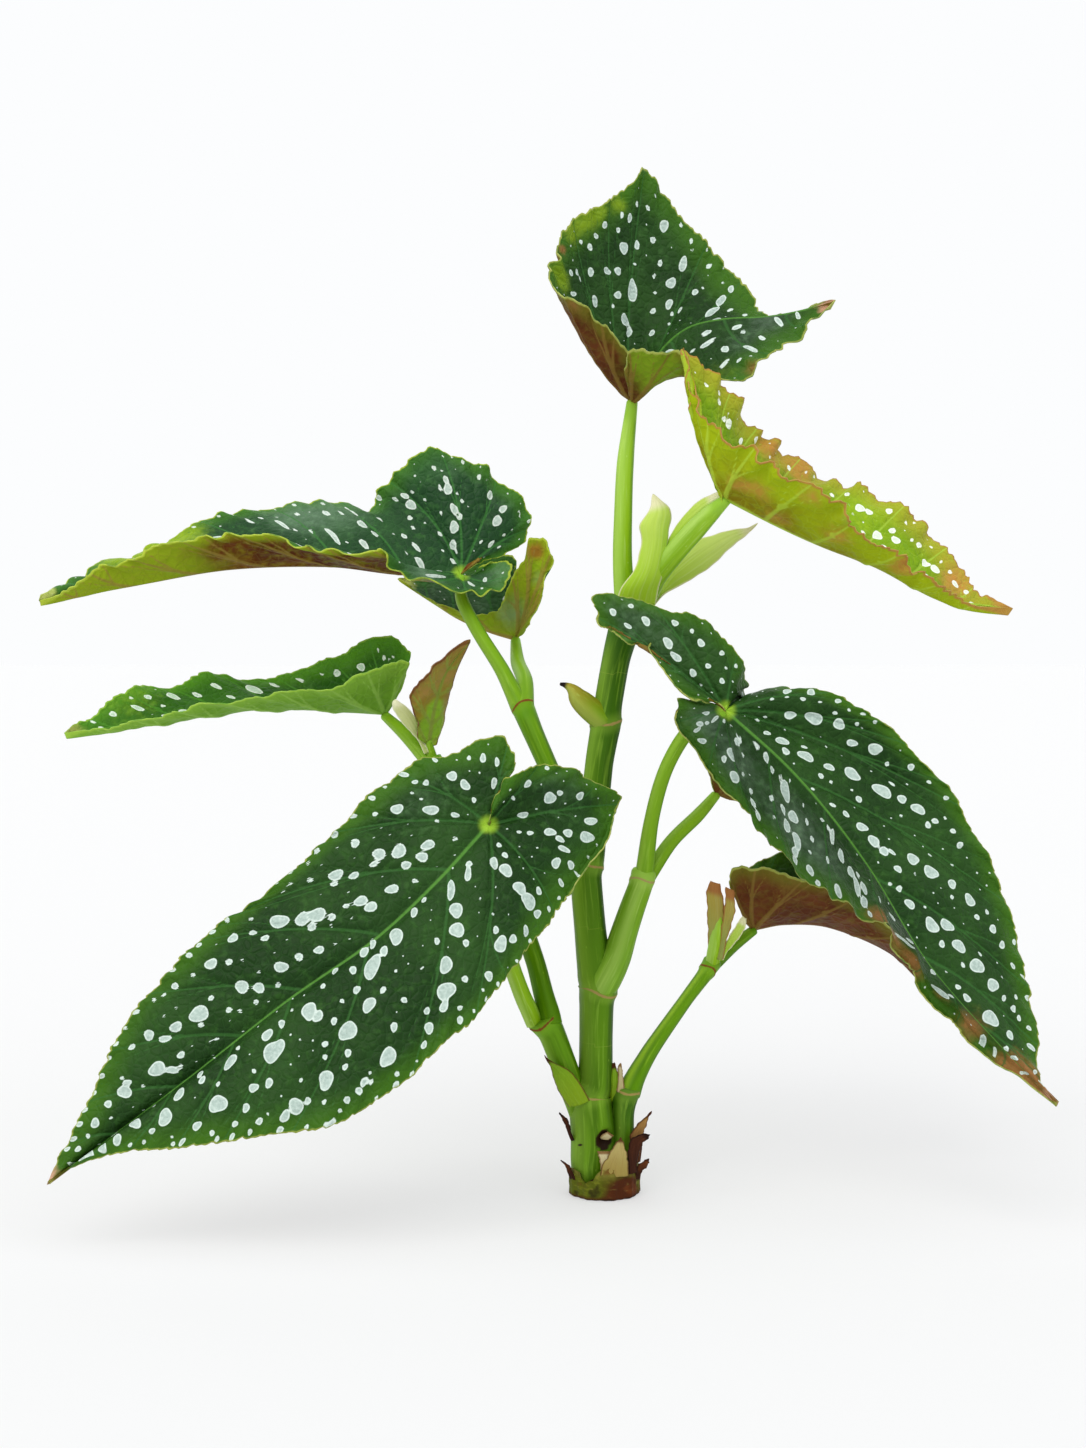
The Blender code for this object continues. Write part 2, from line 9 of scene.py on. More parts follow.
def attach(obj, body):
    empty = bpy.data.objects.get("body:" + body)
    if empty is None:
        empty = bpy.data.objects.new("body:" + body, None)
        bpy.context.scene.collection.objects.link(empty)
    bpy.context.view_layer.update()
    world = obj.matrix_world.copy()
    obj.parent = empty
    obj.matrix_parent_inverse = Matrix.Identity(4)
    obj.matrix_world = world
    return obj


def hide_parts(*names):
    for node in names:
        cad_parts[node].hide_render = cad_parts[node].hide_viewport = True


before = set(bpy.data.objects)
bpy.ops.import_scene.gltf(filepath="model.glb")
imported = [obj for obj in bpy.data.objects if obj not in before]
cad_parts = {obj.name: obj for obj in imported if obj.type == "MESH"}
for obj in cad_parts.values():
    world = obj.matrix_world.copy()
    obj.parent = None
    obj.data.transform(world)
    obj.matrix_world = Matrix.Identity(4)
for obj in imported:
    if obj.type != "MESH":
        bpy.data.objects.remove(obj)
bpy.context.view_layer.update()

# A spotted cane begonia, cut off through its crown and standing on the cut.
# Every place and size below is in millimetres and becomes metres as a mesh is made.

mm = 0.001

# The camera. Leaf spots are set where the photograph, 1086 by 1448 pixels, shows them.
camera = {
    "place": (-21.7, -900.0, 230.0),
    "lookDown": 4.0,        # degrees
    "lens": 63.92,          # on a long side of 36 mm
    "longPixels": 1448,
    "middle": (543, 724),   # pixel at the middle of the photograph
}


def pixelDirection(across, down):
    # the way that the camera looks through this pixel
    focal = camera["lens"] / 36 * camera["longPixels"]
    right = (across - camera["middle"][0]) / focal
    up = (camera["middle"][1] - down) / focal
    tilt = math.radians(camera["lookDown"])
    ahead = math.cos(tilt) + up * math.sin(tilt)
    return Vector((right, ahead, up * math.cos(tilt) - math.sin(tilt))).normalized()


# Colour and node helpers

def linear(code, alpha=1.0):
    # an sRGB hex colour as linear numbers
    parts = [int(code[i:i + 2], 16) / 255 for i in (1, 3, 5)]
    return tuple(p / 12.92 if p <= 0.04045 else ((p + 0.055) / 1.055) ** 2.4 for p in parts) + (alpha,)


def setInputs(tree, node, inputs):
    # links each input that comes from another node, and sets the others on the socket itself
    for name, value in inputs.items():
        if isinstance(value, bpy.types.NodeSocket):
            tree.links.new(value, node.inputs[name])
        else:
            node.inputs[name].default_value = value


def addNode(tree, kind, inputs, output=0, **settings):
    # adds a node with its settings and inputs, and gives back one of its outputs
    node = tree.nodes.new("ShaderNode" + kind)
    for name, value in settings.items():
        setattr(node, name, value)
    setInputs(tree, node, inputs)
    return node.outputs[output]


def paint(tree, colour, layers):
    # lays each tint over the last: as its measure goes from low to high, its cover goes from first to second
    for measure, low, high, first, second, tint in layers:
        cover = addNode(tree, "MapRange", {0: measure, 1: low, 2: high, 3: first, 4: second},
                        interpolation_type="SMOOTHSTEP")
        tint = linear(tint) if isinstance(tint, str) else tint
        colour = addNode(tree, "Mix", {0: cover, 6: colour, 7: tint}, 2, data_type="RGBA")
    return colour


def newMaterial(name):
    made = bpy.data.materials.new(name)
    made.use_nodes = True
    return made, made.node_tree, made.node_tree.nodes["Principled BSDF"]


# Leaf skins. The blade meshes carry, for each point, its distance from the margin, from the nearest
# vein and from the outline of the nearest spot, all in millimetres.

# each look's sheen colour is painted sheen, a grey-blue painted reflection laid into the blade's colour
bladeLooks = {
    "mature": {
        "deep": "#1b3814", "mid": "#28491c", "fleck": "#386426", "glow": "#406e16", "glowReach": 14.0,
        "hem": "#a3ac52", "vein": "#35652c", "rib": "#558c36", "star": "#93bb33", "spot": "#a9bdb4",
        "spotRim": "#d3e2da", "tip": "#c4987a", "under": "#542a12", "underWarm": "#693a1c",
        "underEdge": "#6a641c", "underVein": "#80682e", "underReach": 9.0, "underTip": 0.0, "rough": 0.36,
        "lime": "#76941a", "warm": "#96683a", "paintedSheen": "#87a08a",
    },
    "lime": {
        "deep": "#224426", "mid": "#335c31", "fleck": "#427538", "glow": "#43791f", "glowReach": 10.0,
        "hem": "#b5c840", "vein": "#3f7a38", "rib": "#5a9640", "star": "#93bb33", "spot": "#b0c4b8",
        "spotRim": "#dae6dd", "tip": "#bcc66a", "under": "#56290c", "underWarm": "#6b3a14",
        "underEdge": "#8fa41c", "underVein": "#97813a", "underReach": 8.0, "underTip": 95.0, "rough": 0.36,
        "lime": "#8fae1c", "warm": "#a5702a", "paintedSheen": "#7d9a80",
    },
    "leafy": {
        "deep": "#255310", "mid": "#376b18", "fleck": "#4a8524", "glow": "#55931f", "glowReach": 9.0,
        "hem": "#98c043", "vein": "#4d8a2a", "rib": "#5c9a2e", "star": "#8cbf33", "spot": "#b3d0b4",
        "spotRim": "#dceadb", "tip": "#a3ad56", "under": "#5f8f22", "underWarm": "#6b9c2c",
        "underEdge": "#7fae3a", "underVein": "#8fbb50", "underReach": 10.0, "underTip": 0.0, "rough": 0.38,
        "lime": "#8ab02c", "warm": "#8f8a3a", "paintedSheen": "#93ae84",
    },
    "young": {
        "deep": "#648d08", "mid": "#7da412", "fleck": "#98b520", "glow": "#a9a62c", "glowReach": 14.0,
        "hem": "#b07a3e", "vein": "#a5c742", "rib": "#a5c742", "star": "#a5cf3a", "spot": "#dbe9d6",
        "spotRim": "#f2f7ee", "tip": "#b98c40", "under": "#868a06", "underWarm": "#7d6a0c",
        "underEdge": "#9cb010", "underVein": "#acc83c", "underReach": 26.0, "underTip": 60.0, "rough": 0.42,
        "lime": "#9fbe1e", "warm": "#c08440", "paintedSheen": "#c6cf8a",
    },
    "fresh": {
        "deep": "#85781c", "mid": "#9a8a34", "fleck": "#a38044", "glow": "#94763a", "glowReach": 5.0,
        "hem": "#6a3f20", "vein": "#8f9a44", "rib": "#5f8a2c", "star": "#7fae3a", "spot": "#b5aa80",
        "spotRim": "#c5bb95", "tip": "#8a5636", "under": "#94802c", "underWarm": "#9c8a3c",
        "underEdge": "#94743a", "underVein": "#8a9a3e", "underReach": 3.0, "underTip": 0.0, "rough": 0.44,
        "lime": "#88b62c", "warm": "#b08a4c", "paintedSheen": "#a89a6a",
    },
}


def bladeMeasures(tree):
    # what both sides of a blade read: its place, fine flecks, and the numbers that the mesh carries
    place = addNode(tree, "TexCoord", {}, "Object")
    flecks = addNode(tree, "TexNoise", {"Vector": place, "Scale": 1000 / 3.0, "Detail": 4.0}, "Fac")
    margins, veins, tones = [addNode(tree, "SeparateXYZ", {0: addNode(
        tree, "Attribute", {}, "Vector", attribute_name=title)}).node.outputs
        for title in ("bladeMap", "bladeVeins", "bladeTone")]
    frayedTones = [addNode(tree, "Math", {0: flecks, 1: 0.6, 2: tone}, operation="MULTIPLY_ADD")
                   for tone in tones]
    return place, flecks, margins, veins, frayedTones


def bladeTop(kind, look):
    # Living cuticle with a thin film of wax: deep green, crisp pale spots, a satin gloss, and patches of
    # painted sheen, a painted reflection laid into the colour.
    made, tree, shader = newMaterial("waxyBladeTop_" + kind)
    place, flecks, (edge, spot, tip), (side, rib, star), (lime, warm, paintedSheen) = bladeMeasures(tree)
    patches = addNode(tree, "TexNoise", {"Vector": place, "Scale": 1000 / 34, "Detail": 2.0}, "Fac")
    grit = addNode(tree, "TexNoise", {"Vector": place, "Scale": 1000 / 1.1, "Detail": 2.0}, "Fac")
    # the real net of veinlets is under 1 mm, drawn here at 3 mm so that it shows
    net = addNode(tree, "TexVoronoi", {"Vector": place, "Scale": 1000 / 3.0}, "Distance",
                  feature="DISTANCE_TO_EDGE")
    inner = addNode(tree, "Math", {0: patches, 1: 12.0, 2: edge}, operation="MULTIPLY_ADD")
    frayed = addNode(tree, "Math", {0: flecks, 1: 0.9, 2: edge}, operation="MULTIPLY_ADD")
    dried = addNode(tree, "Math", {0: flecks, 1: 7.0, 2: tip}, operation="MULTIPLY_ADD")
    grain = paint(tree, linear(look["spot"]), [(grit, 0.35, 0.75, 0.0, 0.5, look["spotRim"]),
                                               (spot, 0.22, 0.7, 1.0, 0.0, look["spotRim"])])
    colour = paint(tree, linear(look["deep"]), [
        (patches, 0.36, 0.66, 0.0, 1.0, look["mid"]),
        (flecks, 0.5, 0.74, 0.0, 0.45, look["fleck"]),
        (inner, 5.0, 5.0 + look["glowReach"], 0.85, 0.0, look["glow"]),
        (lime, 0.4, 1.25, 0.0, 0.95, look["lime"]),
        (warm, 0.4, 1.25, 0.0, 0.9, look["warm"]),
        # painted sheen: a grey-blue painted reflection laid over the upper side
        (paintedSheen, 0.4, 1.6, 0.0, 0.8, look["paintedSheen"]),
        (net, 0.0, 0.07, 0.14, 0.0, look["vein"]),
        (side, 0.25, 1.0, 0.7, 0.0, look["vein"]),
        (rib, 0.3, 1.3, 0.9, 0.0, look["rib"]),
        (spot, -0.12, 0.14, 0.0, 1.0, grain),
        (star, 1.4, 4.4, 1.0, 0.0, look["star"]),
        (frayed, 0.55, 1.15, 0.85, 0.0, look["hem"]),
        (dried, 7.0, 12.0, 1.0, 0.0, look["tip"]),
    ])
    rough = addNode(tree, "MapRange", {0: patches, 1: 0.3, 2: 0.7, 3: look["rough"], 4: look["rough"] + 0.12})
    quilted = addNode(tree, "Bump", {"Strength": 0.45, "Distance": 0.5 * mm, "Height": addNode(
        tree, "MapRange", {0: net, 1: 0.0, 2: 0.22})})
    pores = addNode(tree, "Bump", {"Strength": 0.3, "Distance": 0.25 * mm, "Height": grit, "Normal": quilted})
    setInputs(tree, shader, {
        "Base Color": colour, "Roughness": rough, "IOR": 1.45, "Specular IOR Level": 0.1, "Normal": pores,
    })
    return made


def bladeUnder(kind, look):
    # The same blade from below, without wax: matt, with raised veins paler than the red or lime skin.
    made, tree, shader = newMaterial("mattBladeUnder_" + kind)
    place, flecks, (edge, spot, tip), (side, rib, star), (lime, warm, paintedSheen) = bladeMeasures(tree)
    patches = addNode(tree, "TexNoise", {"Vector": place, "Scale": 1000 / 18, "Detail": 3.0}, "Fac")
    net = addNode(tree, "TexVoronoi", {"Vector": place, "Scale": 1000 / 3.8}, "Distance",
                  feature="DISTANCE_TO_EDGE")
    reach = look["underReach"]
    glow = addNode(tree, "Math", {0: patches, 1: reach, 2: edge}, operation="MULTIPLY_ADD")
    nearTip = addNode(tree, "Math", {0: patches, 1: 40.0, 2: tip}, operation="MULTIPLY_ADD")
    colour = paint(tree, linear(look["under"]), [
        (patches, 0.4, 0.62, 0.0, 0.85, look["underWarm"]),
        (flecks, 0.4, 0.75, 0.0, 0.35, look["underEdge"]),
        (glow, reach * 0.55, reach * 1.4, 1.0, 0.0, look["underEdge"]),
        (nearTip, look["underTip"] * 0.7, look["underTip"] + 1.0, 1.0, 0.0, look["underEdge"]),
        (lime, 0.4, 1.25, 0.0, 0.95, look["lime"]),
        (warm, 0.4, 1.25, 0.0, 0.9, look["warm"]),
        # painted sheen: a grey-blue painted reflection laid over the underside
        (paintedSheen, 0.4, 1.6, 0.0, 0.8, look["paintedSheen"]),
        (net, 0.0, 0.08, 0.16, 0.0, look["underVein"]),
        (side, 0.4, 1.4, 0.7, 0.0, look["underVein"]),
        (rib, 0.8, 2.2, 0.95, 0.0, look["underVein"]),
        (edge, 0.3, 0.9, 0.85, 0.0, look["hem"]),
    ])
    raised = addNode(tree, "Bump", {"Strength": 0.45, "Distance": 0.5 * mm, "Height": addNode(
        tree, "MapRange", {0: net, 1: 0.0, 2: 0.25, 3: 1.0, 4: 0.0})})
    setInputs(tree, shader, {
        "Base Color": colour, "Roughness": 0.55, "IOR": 1.42, "Specular IOR Level": 0.08, "Normal": raised,
    })
    return made


def bladeHem(kind, look):
    # The rim of the blade, half a millimetre thick, dry and light-catching.
    made, tree, shader = newMaterial("dryBladeHem_" + kind)
    place = addNode(tree, "TexCoord", {}, "Object")
    mottle = addNode(tree, "TexNoise", {"Vector": place, "Scale": 1000 / 4.0}, "Fac")
    colour = paint(tree, linear(look["hem"]), [(mottle, 0.4, 0.7, 0.0, 0.8, look["glow"])])
    setInputs(tree, shader, {"Base Color": colour, "Roughness": 0.6})
    return made


bladeSkins = {kind: [bladeTop(kind, look), bladeUnder(kind, look), bladeHem(kind, look)]
              for kind, look in bladeLooks.items()}
print("leaf skins made")


# Stem skins. The stem meshes carry the distance from the nearest node ring, the share of the way up,
# how scarred each point is, and how much painted light or painted shade lies on it: a paler lit side and a
# darker shaded side.

stemLooks = {
    "mainCane": {
        "low": "#5f8c10", "high": "#38630c", "paleAndLit": "#8fb83c", "darkAndShade": "#274c04", "ring": "#a08a50",
        "scarAndShade": "#2c1a0c", "end": "#315f10", "rough": 0.42,
    },
    "sideCane": {
        "low": "#5b8c04", "high": "#6a9c14", "paleAndLit": "#94bf30", "darkAndShade": "#3a6404", "ring": "#7a3c1c",
        "scarAndShade": "#5a2f18", "end": "#5f9414", "rough": 0.4,
    },
    "rightCane": {
        "low": "#7dac2a", "high": "#76a41c", "paleAndLit": "#aed064", "darkAndShade": "#4f7d0c", "ring": "#a3935a",
        "scarAndShade": "#5a3a1c", "end": "#7fae30", "rough": 0.4,
    },
    "petiole": {
        "low": "#76a41a", "high": "#80ae1c", "paleAndLit": "#a4cc4e", "darkAndShade": "#4f7f0c", "ring": "#a3935a",
        "scarAndShade": "#8a5a2c", "end": "#86b82c", "rough": 0.38,
    },
    "limePetiole": {
        "low": "#8cb810", "high": "#9cca36", "paleAndLit": "#bfe076", "darkAndShade": "#6a9a0c", "ring": "#b0a560",
        "scarAndShade": "#8a5a2c", "end": "#93c23a", "rough": 0.38,
    },
    "driedBud": {
        "low": "#649206", "high": "#9c8c30", "paleAndLit": "#b2c65c", "darkAndShade": "#7a7414", "ring": "#8a6a2e",
        "scarAndShade": "#6a4318", "end": "#160c08", "rough": 0.55,
    },
}


def stemSkin(kind, look):
    # Living rind stretched lengthwise as it grew: long fine streaks, pale pores, a corky ring at each node.
    made, tree, shader = newMaterial("livingRind_" + kind)
    ring, share, scarAndShade = addNode(tree, "SeparateXYZ", {0: addNode(
        tree, "Attribute", {}, "Vector", attribute_name="stemMap")}).node.outputs
    tone = addNode(tree, "SeparateXYZ", {0: addNode(
        tree, "Attribute", {}, "Vector", attribute_name="stemLitAndShaded")}, 0)
    place = addNode(tree, "Attribute", {}, "Vector", attribute_name="stemPlace")
    drawn = addNode(tree, "Mapping", {"Vector": place, "Scale": (1.0, 1.0, 0.05)})
    streaks = addNode(tree, "TexNoise", {"Vector": drawn, "Scale": 1.1, "Detail": 4.0}, "Fac")
    broad = addNode(tree, "TexNoise", {"Vector": drawn, "Scale": 0.24, "Detail": 2.0}, "Fac")
    drops = addNode(tree, "Mapping", {"Vector": place, "Scale": (1.0, 1.0, 0.45)})
    pores = addNode(tree, "TexVoronoi", {"Vector": drops, "Scale": 0.34}, "Distance")
    near = addNode(tree, "Math", {0: ring}, operation="ABSOLUTE")
    cork = addNode(tree, "Math", {0: streaks, 1: 0.7, 2: near}, operation="MULTIPLY_ADD")
    colour = paint(tree, linear(look["low"]), [
        (share, 0.0, 1.0, 0.0, 1.0, look["high"]),
        (broad, 0.4, 0.64, 0.0, 0.5, look["darkAndShade"]),
        (streaks, 0.5, 0.76, 0.0, 0.45, look["paleAndLit"]),
        # painted light and painted shade: one side of the stem painted paler as if lit, another painted
        # darker as if shaded
        (tone, 0.0, 1.0, 0.0, 0.85, look["paleAndLit"]),
        (tone, -1.0, 0.0, 0.85, 0.0, look["darkAndShade"]),
        (pores, 0.05, 0.09, 0.4, 0.0, look["paleAndLit"]),
        (share, 0.86, 0.93, 0.0, 1.0, look["end"]),
        (near, 0.8, 5.0, 0.3, 0.0, look["paleAndLit"]),
        (cork, 0.5, 1.0, 0.95, 0.0, look["ring"]),
        # the scar's hollow painted nearly black: the scar's own brown with painted shade in the hollow
        (scarAndShade, 0.2, 0.7, 0.0, 1.0, look["scarAndShade"]),
    ])
    rough = addNode(tree, "MapRange", {0: cork, 1: 0.4, 2: 1.4, 3: 0.75, 4: look["rough"]})
    rind = addNode(tree, "Bump", {"Strength": 0.35, "Distance": 0.3 * mm, "Height": streaks})
    setInputs(tree, shader, {
        "Base Color": colour, "Roughness": rough, "IOR": 1.42, "Specular IOR Level": 0.12, "Normal": rind,
    })
    return made


stemSkins = {kind: stemSkin(kind, look) for kind, look in stemLooks.items()}

sheathLooks = {
    "greenStipule": {
        "foot": "#9cc428", "tip": "#bcd65c", "vein": "#c6de80", "rim": "#e0dfb0", "rough": 0.45,
        "slot": "stipule",
    },
    "backStipule": {
        "foot": "#a8c83c", "tip": "#cfe37e", "vein": "#d6e69a", "rim": "#e0dfb0", "rough": 0.45,
        "slot": "stipule",
    },
    "paleStipule": {
        "foot": "#b4c274", "tip": "#cdd594", "vein": "#d9dfaa", "rim": "#e2e3bd", "rough": 0.5,
        "slot": "stipule",
    },
    "budSheath": {
        "foot": "#8f9a4a", "tip": "#ab9844", "vein": "#b3b070", "rim": "#a56f3c", "rough": 0.55,
        "slot": "stipule",
    },
    "brownScale": {
        "foot": "#2c1408", "tip": "#5e3014", "vein": "#8a5628", "rim": "#38190c", "rough": 0.75,
        "slot": "dry_sheath",
    },
    "redScale": {
        "foot": "#34170a", "tip": "#42200e", "vein": "#6a3a1c", "rim": "#261008", "rough": 0.7,
        "slot": "dry_sheath",
    },
    "tanScale": {
        "foot": "#4a2410", "tip": "#a07a40", "vein": "#b58c54", "rim": "#4a2410", "rough": 0.7,
        "slot": "dry_sheath",
    },
    "beigeFlap": {
        "foot": "#9c8a48", "tip": "#b5a668", "vein": "#8f6c38", "rim": "#5e3c1c", "rough": 0.65,
        "slot": "dry_sheath",
    },
    "creamScale": {
        "foot": "#b5a878", "tip": "#c9bd92", "vein": "#d6cca6", "rim": "#8a6a40", "rough": 0.65,
        "slot": "dry_sheath",
    },
    "oliveBract": {
        "foot": "#7c9c14", "tip": "#76a018", "vein": "#8fb43a", "rim": "#5e3418", "rough": 0.45,
        "end": "#4a260e", "slot": "stipule",
    },
}


def sheathSkin(kind, look):
    # Papery membrane, veined lengthwise and dried at its rim: thin, matt and streaked.
    made, tree, shader = newMaterial("paperySheath_" + kind)
    along, across, edge = addNode(tree, "SeparateXYZ", {0: addNode(
        tree, "Attribute", {}, "Vector", attribute_name="sheathMap")}).node.outputs
    wider = addNode(tree, "Math", {0: across, 1: 9.0}, operation="MULTIPLY")
    fan = addNode(tree, "CombineXYZ", {0: wider, 1: along})
    fibres = addNode(tree, "TexNoise", {"Vector": fan, "Scale": 1.8, "Detail": 4.0}, "Fac")
    rim = addNode(tree, "Math", {0: fibres, 1: 0.7, 2: edge}, operation="MULTIPLY_ADD")
    colour = paint(tree, linear(look["foot"]), [
        (along, 0.1, 0.9, 0.0, 1.0, look["tip"]),
        (fibres, 0.45, 0.8, 0.0, 0.5, look["vein"]),
        (rim, 0.4, 0.95, 0.9, 0.0, look["rim"]),
        (along, 0.8, 0.9, 0.0, 1.0, look.get("end", look["rim"])),
    ])
    ribbed = addNode(tree, "Bump", {"Strength": 0.5, "Distance": 0.3 * mm, "Height": fibres})
    setInputs(tree, shader, {
        "Base Color": colour, "Roughness": look["rough"], "Specular IOR Level": 0.12, "Normal": ribbed,
    })
    return made


sheathSkins = {kind: sheathSkin(kind, look) for kind, look in sheathLooks.items()}


crownLook = {"olive": "#59620f", "moss": "#7a801e", "brown": "#4a2208", "rust": "#6e3812", "darkAndShade": "#241206",
             "straw": "#9a8a48"}


def crownSkin(look):
    # Old leaf sheaths dried on the rootstock: olive where still alive, red-brown and fibrous where dead, and
    # the inside of the cup painted dark as painted shade.
    made, tree, shader = newMaterial("driedSheathCrown")
    height, dead, inside = addNode(tree, "SeparateXYZ", {0: addNode(
        tree, "Attribute", {}, "Vector", attribute_name="crownMap")}).node.outputs
    place = addNode(tree, "TexCoord", {}, "Object")
    flat = addNode(tree, "Mapping", {"Vector": place, "Scale": (1.0, 1.0, 2.6)})
    fibres = addNode(tree, "TexNoise", {"Vector": flat, "Scale": 1000 / 3.4, "Detail": 5.0}, "Fac")
    blots = addNode(tree, "TexNoise", {"Vector": place, "Scale": 1000 / 7.0, "Detail": 3.0}, "Fac")
    decay = addNode(tree, "Math", {0: blots, 1: 0.9, 2: dead}, operation="MULTIPLY_ADD")
    foot = addNode(tree, "Math", {0: blots, 1: -2.4, 2: height}, operation="MULTIPLY_ADD")
    colour = paint(tree, linear(look["olive"]), [
        (fibres, 0.48, 0.7, 0.0, 0.7, look["moss"]),
        (height, 6.5, 10.5, 0.0, 0.45, look["straw"]),
        (blots, 0.32, 0.44, 0.75, 0.0, look["darkAndShade"]),
        (decay, 0.6, 1.25, 0.0, 1.0, look["brown"]),
        (blots, 0.58, 0.68, 0.0, 0.55, look["rust"]),
        (fibres, 0.6, 0.8, 0.0, 0.5, look["straw"]),
        (foot, -0.6, 1.0, 0.9, 0.0, look["brown"]),
        (foot, -1.0, -0.2, 0.9, 0.0, look["darkAndShade"]),
        # painted shade: the inside of the cup painted nearly black, as shade in the hollow
        (inside, 0.2, 0.8, 0.0, 0.85, look["darkAndShade"]),
    ])
    rough = addNode(tree, "Bump", {"Strength": 0.8, "Distance": 0.5 * mm, "Height": fibres})
    setInputs(tree, shader, {
        "Base Color": colour, "Roughness": 0.7, "Specular IOR Level": 0.12, "Normal": rough,
    })
    return made


crownBark = crownSkin(crownLook)
print("stem, sheath and crown skins made")


# Lines and meshes

def alongLine(points, shares):
    # places at these shares of the way along a smooth line through the points
    points = np.array(points, float)
    steps = np.linalg.norm(np.diff(points, axis=0), axis=1)
    ends = np.concatenate([[0.0], np.cumsum(steps)])
    where = np.clip(shares, 0, 1) * ends[-1]
    index = np.clip(np.searchsorted(ends, where, side="right") - 1, 0, len(steps) - 1)
    step = steps[index][:, None]
    t = (where - ends[index])[:, None] / step
    padded = np.vstack([2 * points[0] - points[1], points, 2 * points[-1] - points[-2]])
    a, b = padded[index + 1], padded[index + 2]
    leave, arrive = b - padded[index], padded[index + 3] - a
    # slopes are held down beside a long step, so that the line doesn't swing out
    leave, arrive = [slope * 0.5 * np.minimum(1, 2 * step / np.maximum(
        np.linalg.norm(slope, axis=1, keepdims=True), 1e-6)) for slope in (leave, arrive)]
    return (a * (2 * t ** 3 - 3 * t ** 2 + 1) + leave * (t ** 3 - 2 * t ** 2 + t)
            + b * (3 * t ** 2 - 2 * t ** 3) + arrive * (t ** 3 - t ** 2))


def lineLength(points):
    return float(np.linalg.norm(np.diff(np.array(points, float), axis=0), axis=1).sum())


def unit(vectors):
    return vectors / np.maximum(np.linalg.norm(vectors, axis=-1, keepdims=True), 1e-9)


def softStep(value, low, high):
    t = np.clip((value - low) / (high - low), 0, 1)
    return t * t * (3 - 2 * t)


def smoothed(line, reach):
    # the line with its small turns taken out, both ends held
    span = np.arange(-3 * reach, 3 * reach + 1)
    weights = np.exp(-0.5 * (span / reach) ** 2)
    weights /= weights.sum()
    pad = 3 * reach
    before = 2 * line[0] - line[1:pad + 1][::-1]
    after = 2 * line[-1] - line[-pad - 1:-1][::-1]
    whole = np.vstack([before, line, after])
    return np.stack([np.convolve(whole[:, axis], weights, mode="valid") for axis in range(3)], axis=1)


def meshFrom(name, places, faces, maps, skins):
    used, index = np.unique(np.concatenate([np.ravel(f) for f in faces]), return_inverse=True)
    lists, at = [], 0
    for group in faces:
        count = group.size
        lists += index[at:at + count].reshape(group.shape).tolist()
        at += count
    mesh = bpy.data.meshes.new(name)
    mesh.from_pydata((places[used] * mm).tolist(), [], lists)
    for title, values in maps.items():
        stored = mesh.attributes.new(title, "FLOAT_VECTOR", "POINT")
        stored.data.foreach_set("vector", values[used].astype(np.float32).ravel())
    for skin in skins:
        mesh.materials.append(skin)
    mesh.shade_smooth()
    piece = bpy.data.objects.new(name, mesh)
    bpy.context.scene.collection.objects.link(piece)
    return piece


def gridFaces(index, turned):
    # four-cornered faces of a grid of point numbers, and three-cornered ones where points meet
    a, b, c, d = index[:-1, :-1], index[:-1, 1:], index[1:, 1:], index[1:, :-1]
    quads = np.stack([a, b, c, d], axis=-1).reshape(-1, 4)
    if turned:
        quads = quads[:, ::-1]
    same = quads == np.roll(quads, -1, axis=1)
    whole = quads[~same.any(axis=1)]
    pinched = quads[same.sum(axis=1) == 1]
    keep = ~same[same.sum(axis=1) == 1]
    return [group for group in (whole, pinched[keep].reshape(-1, 3)) if len(group)]


def gridPiece(title, points, maps, skin, pinched=(), closed=False):
    # a mesh from rows of points: some rows meet in one point, and the rows of a tube close round it
    index = np.arange(points.shape[0] * points.shape[1]).reshape(points.shape[:2])
    for row in pinched:
        index[row, :] = index[row, 0]
    if closed:
        index = np.hstack([index, index[:, :1]])
    flat = {name: np.stack(np.broadcast_arrays(*parts), axis=-1).reshape(-1, 3)
            for name, parts in maps.items()}
    return meshFrom(title, points.reshape(-1, 3), gridFaces(index, False), flat, [skin])


def pieceTitle(node, end):
    # a title from the name of a node, such as MainCaneRind
    return node.title().replace("_", "") + end


def thicken(piece, thick, offset):
    solid = piece.modifiers.new("thickness", "SOLIDIFY")
    solid.thickness = thick * mm
    solid.offset = offset
    return solid


def settle(piece, node):
    # every piece rides on the plant's one body, and some stand for a node of the frame
    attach(piece, "root")
    if node:
        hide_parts(node)


# The blades. Each has a midrib from the petiole to the tip and a margin for each half, from the
# notch at the petiole to the tip. A lobe is the share of a margin that fans out from the petiole.
# Fan veins are shares of a margin too, and rib veins pairs of shares, of the midrib and of the margin.
# A face is the way that the upper side looks. One row of veins or one face may do for both halves.

